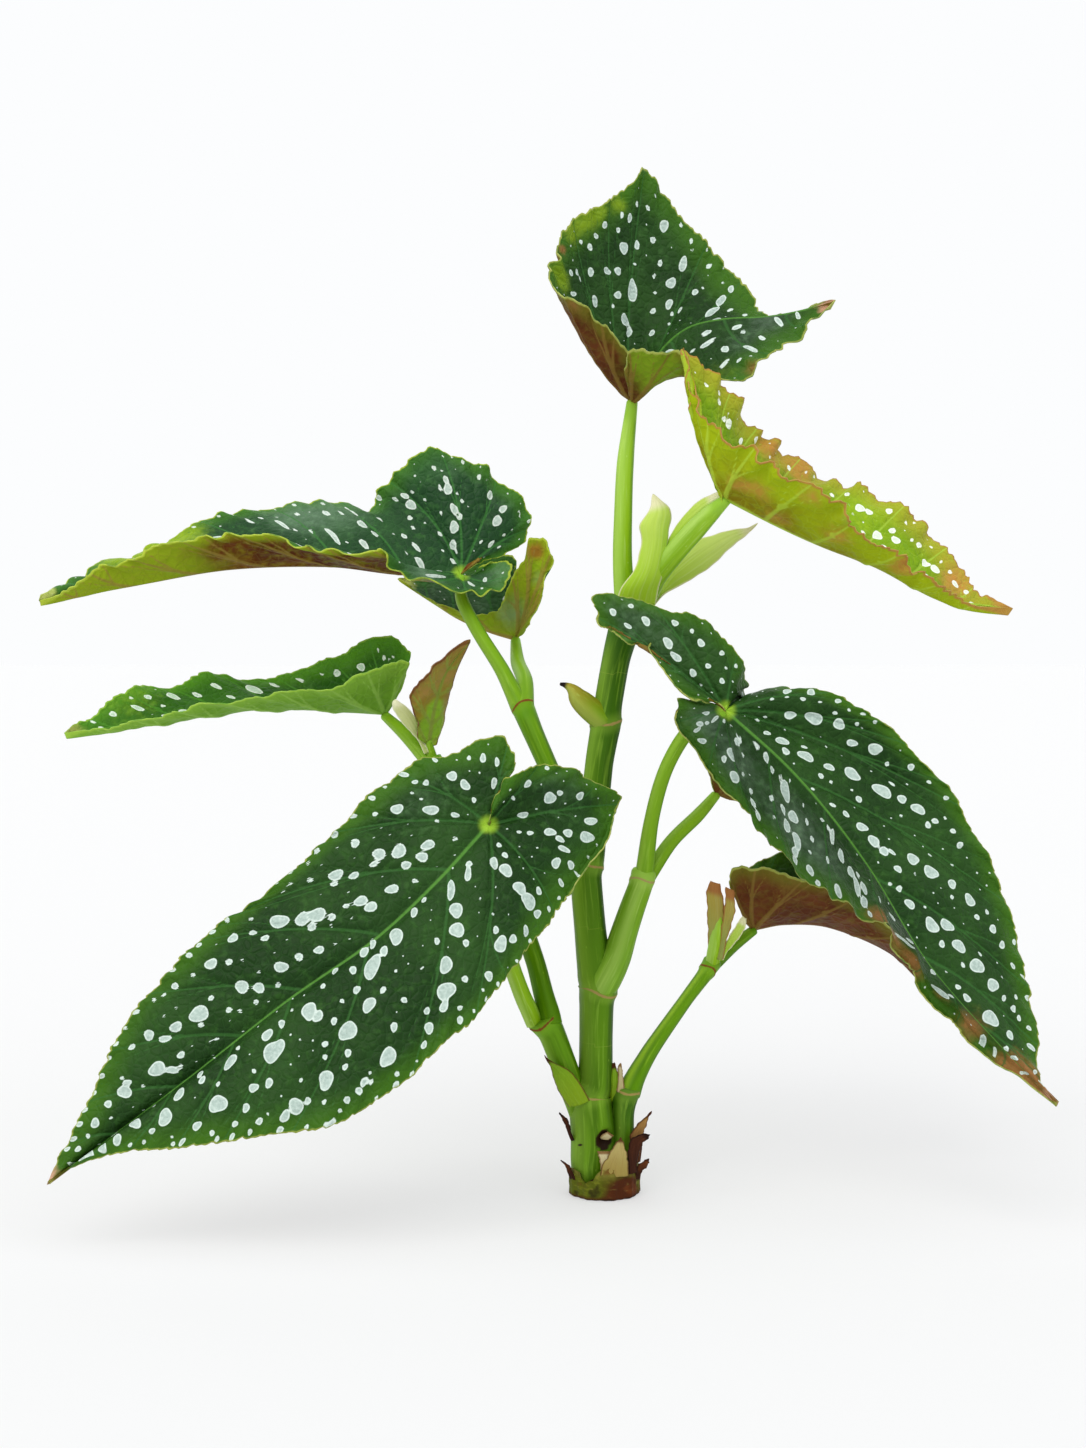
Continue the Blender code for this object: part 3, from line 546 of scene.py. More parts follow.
blades = {
    "front": {
        "look": "mature",
        "midrib": [
            (-40, -42, 136), (-57, -51, 118), (-77, -59, 100), (-105, -65, 81), (-140, -70, 54),
            (-184, -72, 21),
        ],
        "far": [
            (-39, -40, 142), (-35, -38, 149), (-32, -38, 153), (-31, -36, 156), (-32, -34, 160),
            (-35, -32, 165), (-39, -31, 165), (-43, -31, 164), (-46, -31, 162), (-53, -30, 159),
            (-60, -31, 158), (-66, -32, 156), (-71, -33, 152), (-77, -35, 148), (-82, -36, 144),
            (-90, -39, 135), (-98, -42, 128), (-108, -46, 119), (-118, -49, 111), (-131, -52, 103),
            (-141, -56, 94), (-149, -59, 85), (-156, -61, 77), (-163, -64, 66), (-169, -67, 52),
            (-175, -70, 39), (-180, -71, 30),
        ],
        "near": [
            (-39, -43, 142), (-37, -43, 147), (-35, -43, 151), (-31, -43, 153), (-27, -41, 155),
            (-21, -36, 156), (-16, -33, 155), (-11, -30, 154), (-7, -27, 151), (-2, -25, 148),
            (2, -23, 146), (5, -21, 143), (3, -24, 139), (0, -30, 131), (-2, -33, 127), (-7, -37, 122),
            (-12, -43, 115), (-16, -48, 109), (-20, -51, 104), (-24, -56, 100), (-29, -61, 94),
            (-34, -65, 88), (-40, -69, 81), (-46, -73, 74), (-51, -75, 71), (-56, -78, 67), (-61, -79, 62),
            (-65, -80, 58), (-74, -82, 52), (-84, -84, 46), (-92, -86, 43), (-107, -85, 41),
            (-125, -84, 38), (-143, -81, 35), (-155, -79, 34), (-166, -77, 31), (-176, -74, 27),
        ],
        "lobes": (0.52, 0.42), "bows": (3.0, 2.0), "faces": [(0.16, -0.93, 0.33)],
        "fanVeins": [(0.08, 0.2, 0.355, 0.5), (0.1, 0.27, 0.39)],
        "ribVeins": [
            [(0.11, 0.59), (0.31, 0.73), (0.47, 0.8), (0.6, 0.85), (0.73, 0.9), (0.87, 0.95)],
            [(0.11, 0.55), (0.28, 0.62), (0.45, 0.72), (0.58, 0.81), (0.72, 0.88), (0.86, 0.94)],
        ],
        "roll": ([(0.2, 0.0), (0.24, 1.3), (0.3, 1.1), (0.34, 0.0)], []),
        "fine": 0.85, "tooth": 0.8, "ruffle": 0.8, "quilt": 0.055,
    },
    "upper_left": {
        "look": "lime",
        "midrib": [
            (-52, 50, 219), (-74, 46, 219), (-100, 42, 222), (-136, 36, 221), (-171, 28, 215),
            (-202, 20, 210),
        ],
        "far": [
            (-46, 54, 223), (-39, 54, 225), (-33, 58, 228), (-28, 60, 232), (-27, 60, 236), (-26, 61, 240),
            (-28, 62, 244), (-30, 63, 248), (-34, 64, 251), (-40, 64, 255), (-42, 64, 259), (-47, 65, 260),
            (-55, 65, 263), (-63, 66, 266), (-67, 66, 264), (-72, 67, 262), (-74, 67, 259), (-77, 68, 257),
            (-80, 68, 253), (-84, 69, 250), (-86, 69, 244), (-89, 69, 242), (-94, 68, 244), (-100, 67, 246),
            (-108, 66, 246), (-116, 66, 245), (-123, 64, 244), (-134, 62, 242), (-143, 59, 241),
            (-148, 58, 239), (-154, 55, 235), (-158, 54, 233), (-164, 52, 230), (-170, 49, 228),
            (-173, 46, 224), (-179, 42, 225), (-186, 36, 221), (-189, 32, 218), (-192, 29, 217),
            (-198, 24, 214),
        ],
        "near": [
            (-45, 52, 222), (-38, 54, 224), (-33, 51, 222), (-34, 46, 218), (-37, 44, 214), (-44, 38, 212),
            (-50, 35, 213), (-55, 32, 214), (-64, 29, 217), (-72, 27, 219), (-77, 25, 222), (-78, 24, 225),
            (-80, 23, 228), (-85, 22, 228), (-92, 22, 227), (-99, 21, 228), (-107, 20, 229),
            (-113, 20, 231), (-119, 20, 233), (-129, 20, 234), (-138, 20, 233), (-148, 20, 232),
            (-156, 20, 230), (-163, 20, 228), (-168, 20, 225), (-174, 20, 223), (-180, 19, 222),
            (-185, 19, 219), (-189, 19, 216), (-195, 20, 212),
        ],
        "lobes": (0.42, 0.42), "bows": (-2.0, 2.0), "faces": [(0.0, -0.4, 0.9)],
        "fanVeins": [(0.1, 0.2, 0.3, 0.4)],
        "ribVeins": [
            [(0.14, 0.52), (0.3, 0.63), (0.46, 0.73), (0.62, 0.82), (0.78, 0.9), (0.9, 0.96)],
            [(0.14, 0.5), (0.3, 0.6), (0.46, 0.71), (0.62, 0.81), (0.78, 0.9), (0.9, 0.96)],
        ],
        "tooth": 0.7, "ruffle": 1.0, "quilt": 0.05,
    },
    "mid_left": {
        "look": "leafy",
        "midrib": [(-80, 40, 168), (-93, 38, 169), (-118, 32, 171), (-142, 26, 169), (-192, 14, 163)],
        "far": [
            (-77, 42, 174), (-74, 47, 179), (-71, 52, 187), (-71, 53, 190), (-74, 55, 193), (-78, 56, 196),
            (-86, 58, 195), (-91, 58, 193), (-97, 57, 189), (-104, 57, 187), (-110, 56, 184),
            (-118, 54, 182), (-123, 53, 180), (-130, 51, 180), (-137, 49, 181), (-144, 46, 183),
            (-150, 44, 182), (-154, 41, 179), (-161, 38, 177), (-167, 36, 179), (-173, 31, 177),
            (-179, 26, 173), (-184, 22, 168), (-189, 17, 166),
        ],
        "near": [
            (-76, 38, 174), (-73, 35, 180), (-70, 29, 187), (-73, 28, 188), (-78, 26, 187), (-82, 23, 185),
            (-87, 22, 184), (-94, 19, 180), (-100, 17, 178), (-108, 16, 178), (-114, 14, 178),
            (-121, 13, 176), (-128, 13, 175), (-134, 13, 174), (-140, 12, 174), (-145, 12, 173),
            (-150, 12, 171), (-155, 12, 170), (-161, 12, 168), (-169, 13, 167), (-176, 14, 165),
            (-185, 14, 164),
        ],
        "lobes": (0.36, 0.36), "bows": (-2.0, -2.0), "faces": [(0.1, -0.1, 0.98)],
        "fanVeins": [(0.12, 0.24, 0.34)],
        "ribVeins": [[(0.14, 0.47), (0.3, 0.6), (0.48, 0.72), (0.66, 0.83), (0.84, 0.93)]],
        "tooth": 0.7, "ruffle": 0.5, "quilt": 0.05,
    },
    "right": {
        "look": "mature",
        "midrib": [
            (40, -35, 174), (59, -47, 157), (73, -55, 141), (86, -61, 123), (106, -68, 91), (147, -67, 46),
        ],
        "near": [
            (34, -35, 177), (28, -33, 178), (24, -33, 178), (23, -33, 175), (23, -30, 172), (25, -27, 167),
            (29, -24, 163), (32, -22, 159), (35, -21, 154), (38, -20, 150), (41, -21, 146), (47, -22, 140),
            (50, -23, 136), (53, -24, 131), (56, -25, 128), (59, -27, 126), (62, -29, 122), (65, -30, 117),
            (72, -33, 114), (77, -36, 110), (83, -38, 108), (86, -41, 104), (92, -43, 103), (96, -45, 101),
            (97, -48, 95), (101, -50, 93), (105, -52, 89), (106, -54, 83), (111, -57, 77), (117, -59, 74),
            (120, -61, 69), (124, -63, 64), (130, -64, 60), (135, -66, 57), (139, -66, 53), (143, -67, 49),
        ],
        "far": [
            (34, -36, 177), (28, -37, 179), (23, -35, 182), (20, -32, 186), (18, -30, 189), (16, -28, 192),
            (14, -26, 195), (9, -23, 197), (2, -19, 201), (-2, -17, 203), (-3, -15, 207), (-5, -13, 212),
            (-2, -14, 213), (3, -16, 213), (13, -19, 210), (23, -23, 207), (30, -25, 206), (36, -27, 202),
            (41, -29, 197), (44, -29, 193), (47, -26, 187), (48, -20, 181), (47, -10, 175), (49, -12, 177),
            (52, -14, 178), (56, -20, 179), (61, -28, 181), (67, -32, 181), (74, -35, 180), (79, -36, 179),
            (83, -36, 176), (90, -37, 172), (97, -37, 167), (104, -37, 159), (112, -37, 151),
            (117, -38, 146), (120, -39, 139), (124, -40, 132), (128, -41, 126), (131, -42, 118),
            (133, -43, 112), (135, -45, 106), (137, -46, 100), (138, -49, 92), (140, -52, 83),
            (141, -54, 76), (142, -56, 69), (142, -60, 60), (142, -63, 53), (144, -65, 49),
        ],
        "lobes": (0.32, 0.72), "bows": (1.0, 2.5), "faces": [(0.2, -0.85, 0.45)],
        "fanVeins": [(0.1, 0.2, 0.3), (0.08, 0.15, 0.24, 0.34, 0.43, 0.53, 0.62, 0.7)],
        "ribVeins": [
            [(0.12, 0.4), (0.28, 0.5), (0.43, 0.6), (0.58, 0.7), (0.72, 0.8), (0.86, 0.9)],
            [(0.2, 0.8), (0.45, 0.885), (0.62, 0.94), (0.8, 0.97)],
        ],
        "roll": (
            [
                (0.05, 0.0), (0.08, 1.0), (0.25, 0.9), (0.3, 0.0), (0.6, 0.0), (0.66, 1.9), (0.96, 2.2),
                (1.0, 0.6),
            ],
            [(0.0, 0.0), (0.05, 1.0), (0.11, 1.0), (0.16, 0.0)],
        ),
        "fine": 0.85, "tooth": 0.7, "ruffle": 0.8, "quilt": 0.05,
    },
    "top": {
        "look": "mature",
        "midrib": [
            (10, 14, 280), (18.7, 13, 297), (28.7, 13, 306), (41, 10, 309), (56, 7, 309.6), (68, 5, 311.5),
            (80, 4, 315),
        ],
        "far": [
            (12, 3, 291), (10, 0, 296), (7, -1, 298), (1, -5, 304), (-4, -7, 308), (-8, -9, 312.6),
            (-12, -10, 314), (-15, -9, 314.3), (-18, -1, 321), (-20, 3, 324), (-19, 8, 328), (-16, 10, 330),
            (-16, 13, 333), (-16, 17, 339), (-13, 20, 342), (-10, 24, 346), (-3, 29, 350), (2, 32, 353),
            (7, 36, 357), (11, 39, 361), (15, 42, 366), (20, 43, 360), (24, 44, 354), (30, 43, 347),
            (36, 42, 341), (40, 41, 336), (45, 39, 330), (49, 36, 325), (54, 32, 319), (56, 28, 313),
            (59, 25, 311), (64, 20, 311), (70, 15, 312), (74, 10, 314), (78, 5, 315),
        ],
        "near": [
            (9.4, 5, 287), (7.6, -0.4, 291), (7, -4.6, 295), (9, -7.4, 296.6), (13, -8.6, 296.6),
            (18, -9.6, 296.2), (22, -11, 295.8), (26, -12.4, 296), (32, -10, 291), (38, -13, 287),
            (46, -14, 285), (50, -14, 289), (55, -11, 295), (60, -9, 296), (62, -8, 300), (67, -6, 301),
            (70, -4, 306), (74, -1, 309),
        ],
        "lobes": (0.3, 0.62), "bows": (-2.0, -3.0), "faces": [(0.25, -0.35, 0.9)],
        "fanVeins": [(0.14, 0.28), (0.1, 0.2, 0.3, 0.38, 0.46, 0.55)],
        "ribVeins": [
            [(0.3, 0.5), (0.55, 0.68), (0.8, 0.86)], [(0.2, 0.7), (0.4, 0.79), (0.6, 0.87), (0.8, 0.94)],
        ],
        "tooth": 0.9, "ruffle": 1.0, "quilt": 0.05,
    },
    "upper_right": {
        "look": "young",
        "midrib": [
            (40, -30, 245), (58, -28, 236), (74, -25, 229), (91, -21, 223), (115, -14, 212), (141, -8, 208),
        ],
        "near": [
            (39, -32, 247), (37, -32, 252), (34, -35, 260), (30, -36, 268), (28, -37, 276), (26, -38, 286),
            (25, -38, 295), (26, -38, 287), (28, -38, 281), (31, -41, 273), (33, -42, 270), (37, -43, 269),
            (39, -44, 265), (41, -45, 263), (48, -47, 262), (50, -48, 258), (55, -48, 256), (59, -49, 251),
            (65, -50, 250), (69, -50, 249), (74, -48, 245), (78, -47, 243), (80, -46, 239), (80, -44, 236),
            (85, -42, 234), (88, -41, 230), (93, -38, 228), (100, -33, 227), (103, -30, 221),
            (110, -26, 219), (119, -19, 213), (127, -14, 209),
        ],
        "far": [
            (40, -28, 248), (38, -25, 255), (34, -25, 265), (31, -25, 279), (28, -23, 288), (26, -22, 296),
            (30, -20, 293), (33, -19, 290), (38, -16, 288), (42, -14, 282), (46, -12, 280), (46, -11, 278),
            (46, -10, 274), (50, -8, 271), (53, -6, 270), (54, -5, 267), (60, -3, 266), (61, -2, 262),
            (68, 2, 260), (74, 5, 254), (80, 5, 252), (87, 5, 250), (90, 6, 251), (97, 6, 246),
            (103, 6, 245), (107, 5, 241), (112, 5, 237), (116, 4, 231), (120, 2, 227), (124, 0, 222),
            (127, -2, 219), (128, -3, 214), (133, -5, 212),
        ],
        "lobes": (0.46, 0.46), "bows": (-2.5, -2.5), "faces": [(0.35, 0.1, 0.93)],
        "fanVeins": [(0.12, 0.24, 0.35, 0.44)],
        "ribVeins": [[(0.14, 0.55), (0.3, 0.65), (0.47, 0.75), (0.64, 0.85), (0.82, 0.93)]],
        "tooth": 1.3, "ruffle": 1.2, "quilt": 0.06,
    },
    "lower_right": {
        "look": "mature",
        "midrib": [(56, 36, 89), (67, 36, 91), (83, 36, 90), (105, 36, 81), (118, 34, 69), (142, 30, 49)],
        "near": [
            (54, 34, 92), (50, 30, 99), (46, 25, 106), (46, 23, 110), (47, 20, 114), (52, 19, 114),
            (58, 17, 114), (64, 16, 113), (71, 14, 110), (88, 12, 107), (108, 16, 88), (129, 22, 65),
        ],
        "far": [
            (54, 42, 96), (51, 52, 105), (60, 62, 111), (76, 70, 114), (95, 72, 106), (117, 64, 88),
            (133, 46, 65),
        ],
        "lobes": (0.4, 0.4), "bows": (-1.5, -1.5), "faces": [(0.1, -0.05, 0.99)],
        "fanVeins": [(0.12, 0.24, 0.36)],
        "ribVeins": [[(0.15, 0.5), (0.35, 0.64), (0.55, 0.77), (0.76, 0.89)]],
        "tooth": 0.7, "ruffle": 0.8, "quilt": 0.05,
    },
    "folded": {
        "look": "lime",
        "midrib": [(-32, 70, 194), (-42, 72, 197), (-54, 76, 202), (-65, 80, 209), (-77, 84, 217)],
        "near": [
            (-29, 67, 197), (-25.3, 62, 203.2), (-22.4, 60, 210.7), (-21, 59, 216), (-18.4, 58.6, 221),
            (-18, 58.6, 224.3), (-19.5, 59, 229.2), (-21.3, 59.6, 232.3), (-23.3, 60, 232.1),
            (-26.7, 60, 232.5), (-28.2, 61, 225), (-31.6, 62, 220.8), (-34.6, 63, 214.4), (-36.7, 64, 209),
            (-39, 66, 205), (-50, 70, 204), (-66, 77, 210),
        ],
        "far": [
            (-34, 76, 199), (-34, 84, 211), (-32, 88, 224), (-40, 92, 226), (-54, 94, 220), (-68, 90, 218),
        ],
        "lobes": (0.64, 0.46), "bows": (-1.0, -1.0), "faces": [(0.1, 0.9, 0.3), (0.0, -0.9, 0.4)],
        "fanVeins": [(0.14, 0.28, 0.4, 0.52), (0.15, 0.3, 0.44)],
        "ribVeins": [[(0.2, 0.72), (0.5, 0.84), (0.76, 0.93)], [(0.2, 0.6), (0.5, 0.75), (0.76, 0.89)]],
        "tooth": 0.7, "ruffle": 0.8, "quilt": 0.05,
    },
    "young": {
        "look": "fresh",
        "midrib": [
            (-63.3, 26.4, 158), (-61.7, 24.5, 168.6), (-58.3, 22.5, 181.3), (-54.3, 21.5, 188.2),
            (-47.8, 19, 196.1),
        ],
        "near": [
            (-67, 22, 160.8), (-66.7, 19, 166), (-67.7, 17, 169.1), (-68.7, 16, 173.3), (-69.3, 15, 175.6),
            (-68.9, 15, 177.2), (-67.8, 15, 178.6), (-66.1, 14, 181.1), (-62.3, 14, 184.6), (-61, 15, 187),
            (-58, 16, 189.2), (-53.9, 17, 192.9), (-50.2, 19, 195.3),
        ],
        "far": [
            (-60.2, 28, 157.5), (-59.8, 30, 160.2), (-58.7, 32, 163.4), (-57.3, 31, 169.6),
            (-55.8, 29, 175.3), (-54, 26, 181.5), (-51.4, 23, 188.3), (-49.1, 21, 193),
        ],
        "lobes": (0.22, 0.22), "bows": (-0.5, -0.5), "faces": [(-0.2, 0.2, 0.96)], "fanVeins": [(0.12,)],
        "ribVeins": [[(0.2, 0.4), (0.45, 0.6), (0.7, 0.8)]], "fine": 0.8, "tooth": 0.6, "ruffle": 0.3,
        "quilt": 0.03,
    },
    "back": {
        "look": "mature",
        "midrib": [(41, 24, 140), (60, 38, 141), (86, 54, 133), (116, 70, 114), (150, 82, 78)],
        "near": [
            (38.5, 20, 145), (38, 17, 152), (46, 16, 150), (62, 20, 145), (83, 31, 131), (104, 44, 116),
            (130, 63, 93),
        ],
        "far": [(43, 31, 145), (49, 50, 154), (66, 68, 163), (92, 84, 159), (122, 94, 138), (146, 97, 106)],
        "lobes": (0.34, 0.36), "bows": (-1.0, -1.0), "faces": [(0.1, 0.1, 0.98)],
        "fanVeins": [(0.1, 0.2, 0.3), (0.1, 0.2, 0.32)],
        "ribVeins": [
            [(0.15, 0.46), (0.33, 0.58), (0.52, 0.7), (0.72, 0.82), (0.88, 0.93)],
            [(0.15, 0.48), (0.33, 0.6), (0.52, 0.72), (0.72, 0.84), (0.88, 0.94)],
        ],
        "fine": 1.2, "tooth": 0.7, "ruffle": 1.0, "quilt": 0.05,
    },
}

bladeMake = {
    "pitch": 1.0,           # from row to row at the margin
    "step": 1.4,            # from point to point along the longest row
    "thick": 0.45,
    "hem": 9.0,             # how far in the ruffles of the margin reach
    "toothPitch": 4.6,
    "sweep": 0.07,          # how far the side veins bend, of their length
    "curlTurn": 2.4,        # how far round a rolled margin goes, in radians
    "fork": (0.4, 0.62),    # where a vein forks, of its length
    "forkSpread": (0.26, 0.42),     # how far a fork leads, of the way to the next vein
    "wideSwell": 26,        # the quilt between two veins swells no more past this width
    "groove": 0.35,         # how deep a vein lies
    "grooveWide": 1.1,
    "wave": 13.0,           # from ruffle to ruffle
    "wrinkle": 0.16,
}


def forHalf(rows, side):
    # a table's row for this half, where one row may stand for both
    return rows[side % len(rows)]


def halfBlade(title, shape, side, ribRows, fine):
    lobe = shape["lobes"][side]
    fanVeins, ribVeins = forHalf(shape["fanVeins"], side), forHalf(shape["ribVeins"], side)
    margin = shape[("near", "far")[side]] + [shape["midrib"][-1]]
    fanRows = max(6, int(lineLength(margin) * lobe / bladeMake["pitch"] / fine))
    fan = np.arange(fanRows) / fanRows
    rib = np.arange(ribRows + 1) / ribRows
    keys = np.array([(0, lobe), *ribVeins, (1, 1)])
    shares = np.concatenate([lobe * fan, np.interp(rib, keys[:, 0], keys[:, 1])])
    start = alongLine(shape["midrib"], np.concatenate([fan * 0, rib]))
    end = alongLine(margin, shares)
    soft = smoothed(end, 9)
    detail = end - soft
    rowLength = np.maximum(np.linalg.norm(end - start, axis=1), 0.05)[:, None]
    columns = max(12, int(rowLength.max() / bladeMake["step"] / fine))
    even = np.arange(columns + 1) / columns
    face = unit(np.array(forHalf(shape["faces"], side), float))
    ahead = unit(np.gradient(alongLine(shape["midrib"], np.linspace(0, 1, 50)), axis=0))
    ahead = ahead[np.clip((np.concatenate([fan * 0, rib]) * 49).astype(int), 0, 49)][:, None, :]
    bend = softStep(shares, 0, lobe)[:, None] * rowLength * bladeMake["sweep"]

    def placesAt(t):
        arch = 4 * t * (1 - t)
        sheet = start[:, None] * (1 - t[..., None]) + soft[:, None] * t[..., None]
        sheet = sheet + detail[:, None] * t[..., None] ** 4 + face * shape["bows"][side] * arch[..., None]
        return sheet - ahead * (bend * arch)[..., None]

    def frameOf(sheet):
        # the way outward along the rows, the upper side's normal and the distance between rows
        outward = unit(np.gradient(sheet, axis=1))
        alongRows = np.gradient(sheet, axis=0)
        normal = np.cross(outward, alongRows)
        flip = float((unit(normal) @ face).mean()) < 0
        normal = unit(-normal if flip else normal)
        normal[:, 0] = normal[:, 1]
        outward[:, 0] = outward[:, 1]
        return outward, normal, np.linalg.norm(np.cross(alongRows, outward), axis=2), flip

    t = np.tile(0.65 * even + 0.35 * np.sin(even * math.pi / 2), (len(shares), 1))
    share = t
    edge = (1 - t) * rowLength
    # a rolled margin turns up and over, so that its underside shows
    rollKeys = np.array(shape["roll"][side] if "roll" in shape and shape["roll"][side] else [(0, 0)], float)
    curl = np.interp(shares, rollKeys[:, 0], rollKeys[:, 1])
    curl = np.clip(curl, 0.001, rowLength[:, 0] / 4)[:, None]
    turned = bladeMake["curlTurn"] * curl
    flat = curl + (edge - turned) * (rowLength - curl) / (rowLength - turned)
    rolled = edge < turned
    outward, normal, spacing, flip = frameOf(placesAt(t))
    angle = np.where(rolled, (turned - edge) / curl, 0)[..., None]
    places = placesAt(1 - np.where(rolled, curl, flat) / rowLength)
    places = places + curl[..., None] * (outward * np.sin(angle) + normal * (1 - np.cos(angle)))
    outward, normal, spacing, flip = frameOf(places)
    along = np.concatenate([[0], np.cumsum(np.linalg.norm(np.diff(end, axis=0), axis=1))])[:, None]
    fromRib = t * rowLength
    # veins with their forks, as distances in millimetres
    rows = np.arange(len(shares))[:, None]
    veinRows = [int(vein / lobe * fanRows) for vein in fanVeins]
    veinRows += [fanRows + int(key[0] * ribRows) for key in ribVeins]
    bounds = np.array([0] + veinRows + [len(shares) - 1])
    draw = random.Random(title + str(side))
    nearest = np.full(edge.shape, 99.0)
    for number, vein in enumerate(veinRows):
        nearest = np.minimum(nearest, np.abs(rows - vein) * spacing)
        for gap in (bounds[number + 2] - vein, bounds[number] - vein):
            leaves = draw.uniform(*bladeMake["fork"])
            spread = gap * draw.uniform(*bladeMake["forkSpread"])
            fork = vein + spread * np.clip((t - leaves) / (1 - leaves), 0, 1)
            nearest = np.minimum(nearest, np.where(t > leaves, np.abs(rows - fork) * spacing * 1.5, 99.0))
    # the raised quilt between veins, and the ruffled and toothed margin
    slotAt = np.clip(np.searchsorted(bounds, rows[:, 0], side="right") - 1, 0, len(bounds) - 2)
    low, high = bounds[slotAt], bounds[slotAt + 1]
    inSlot = ((rows[:, 0] - low) / np.maximum(high - low, 1))[:, None]
    width = (high - low)[:, None] * spacing
    swell = np.sin(math.pi * inSlot) ** 0.7 * np.minimum(width, bladeMake["wideSwell"]) * shape["quilt"]
    swell = swell * softStep(fromRib, 0, 7) * softStep(edge, -3, 10)
    groove = -bladeMake["groove"] * np.exp(-(nearest / bladeMake["grooveWide"]) ** 2)
    groove = groove * softStep(fromRib, 1, 6) * softStep(edge, 0, 8)
    wave = 2 * math.pi * along / bladeMake["wave"]
    ruffle = shape["ruffle"] * np.sin(wave + 1.7 * np.sin(wave / 2.7 + side))
    ruffle = ruffle * (1 - softStep(edge, 0, bladeMake["hem"]))
    ruffle = ruffle * softStep(rowLength, 4, 14) * (1 - softStep(curl, 0.2, 1.0))
    wrinkle = bladeMake["wrinkle"] * (np.sin(places[..., 0] * 0.9 + 1.3 * np.sin(places[..., 2] * 0.35))
                                      * np.sin(places[..., 2] * 0.8 + 1.1 * np.sin(places[..., 0] * 0.31)))
    wrinkle = wrinkle * softStep(fromRib, 1, 8)
    places = places + normal * (swell + groove + ruffle + wrinkle)[..., None]
    beat = along / bladeMake["toothPitch"] + 0.35 * np.sin(along / 6.3) + 0.2 * np.sin(along / 2.9)
    tooth = shape["tooth"] * (np.abs(np.sin(math.pi * beat)) ** 0.6 - 0.7 + 0.3 * np.sin(along * 1.9))
    tooth = tooth * softStep(rowLength, 2, 10) * (1 - softStep(edge, 0, 2.6))
    places = places + outward * tooth[..., None]
    fromStar = np.linalg.norm(places - np.array(shape["midrib"][0], float), axis=2)
    fromTip = np.linalg.norm(places - np.array(shape["midrib"][-1], float), axis=2)
    ribWide = np.concatenate([np.full(fanRows, 1.1), 0.35 + 0.75 * (1 - rib)])[:, None]
    ribAway = np.where(rows < fanRows, fromStar, fromRib * 0.9)
    return {
        "places": places, "normal": normal, "outward": outward, "flip": flip, "fanRows": fanRows,
        "edge": edge, "vein": nearest, "star": fromStar, "tip": fromTip,
        "veinLine": nearest / (0.35 + 0.55 * (1 - share)), "ribLine": ribAway / ribWide,
    }


def sheetOf(title, shape):
    # both halves as one list of points, sharing the midrib
    fine = shape.get("fine", 1.0)
    lengths = [lineLength(shape[half]) * (1 - lobe) for half, lobe in zip(("near", "far"), shape["lobes"])]
    ribRows = int(max(lengths) / bladeMake["pitch"] / fine)
    halves = [halfBlade(title, shape, side, ribRows, fine) for side in (0, 1)]
    indexes, start = [], 0
    for half in halves:
        rows, columns = half["edge"].shape
        indexes.append(np.arange(start, start + rows * columns).reshape(rows, columns))
        start += rows * columns
    rib = indexes[0][halves[0]["fanRows"]:, 0].copy()
    for half, index in zip(halves, indexes):
        index[half["fanRows"]:, 0] = rib
        index[:half["fanRows"], 0] = rib[0]
        index[-1, :] = rib[-1]
    keys = [key for key in halves[0] if key not in ("flip", "fanRows")]
    sheet = {key: np.concatenate([half[key].reshape(-1, *half[key].shape[2:]) for half in halves])
             for key in keys}
    sheet["faces"] = gridFaces(indexes[0], halves[0]["flip"]) + gridFaces(indexes[1], halves[1]["flip"])
    sheet["used"] = np.unique(np.concatenate([group.ravel() for group in sheet["faces"]]))
    sheet["polygons"] = [corners for group in sheet["faces"] for corners in group.tolist()]
    sheet["tree"] = BVHTree.FromPolygons(sheet["places"].tolist(), sheet["polygons"])
    return sheet


sheets = {name: sheetOf(name, shape) for name, shape in blades.items()}
print("leaf sheets laid out:", {name: len(sheet["used"]) for name, sheet in sheets.items()})


# White spots. Those that the photograph shows stand at their pixel: across, down, length and width.
# The camera's line through the pixel gives the place on the leaf, and the nearest vein its long way.

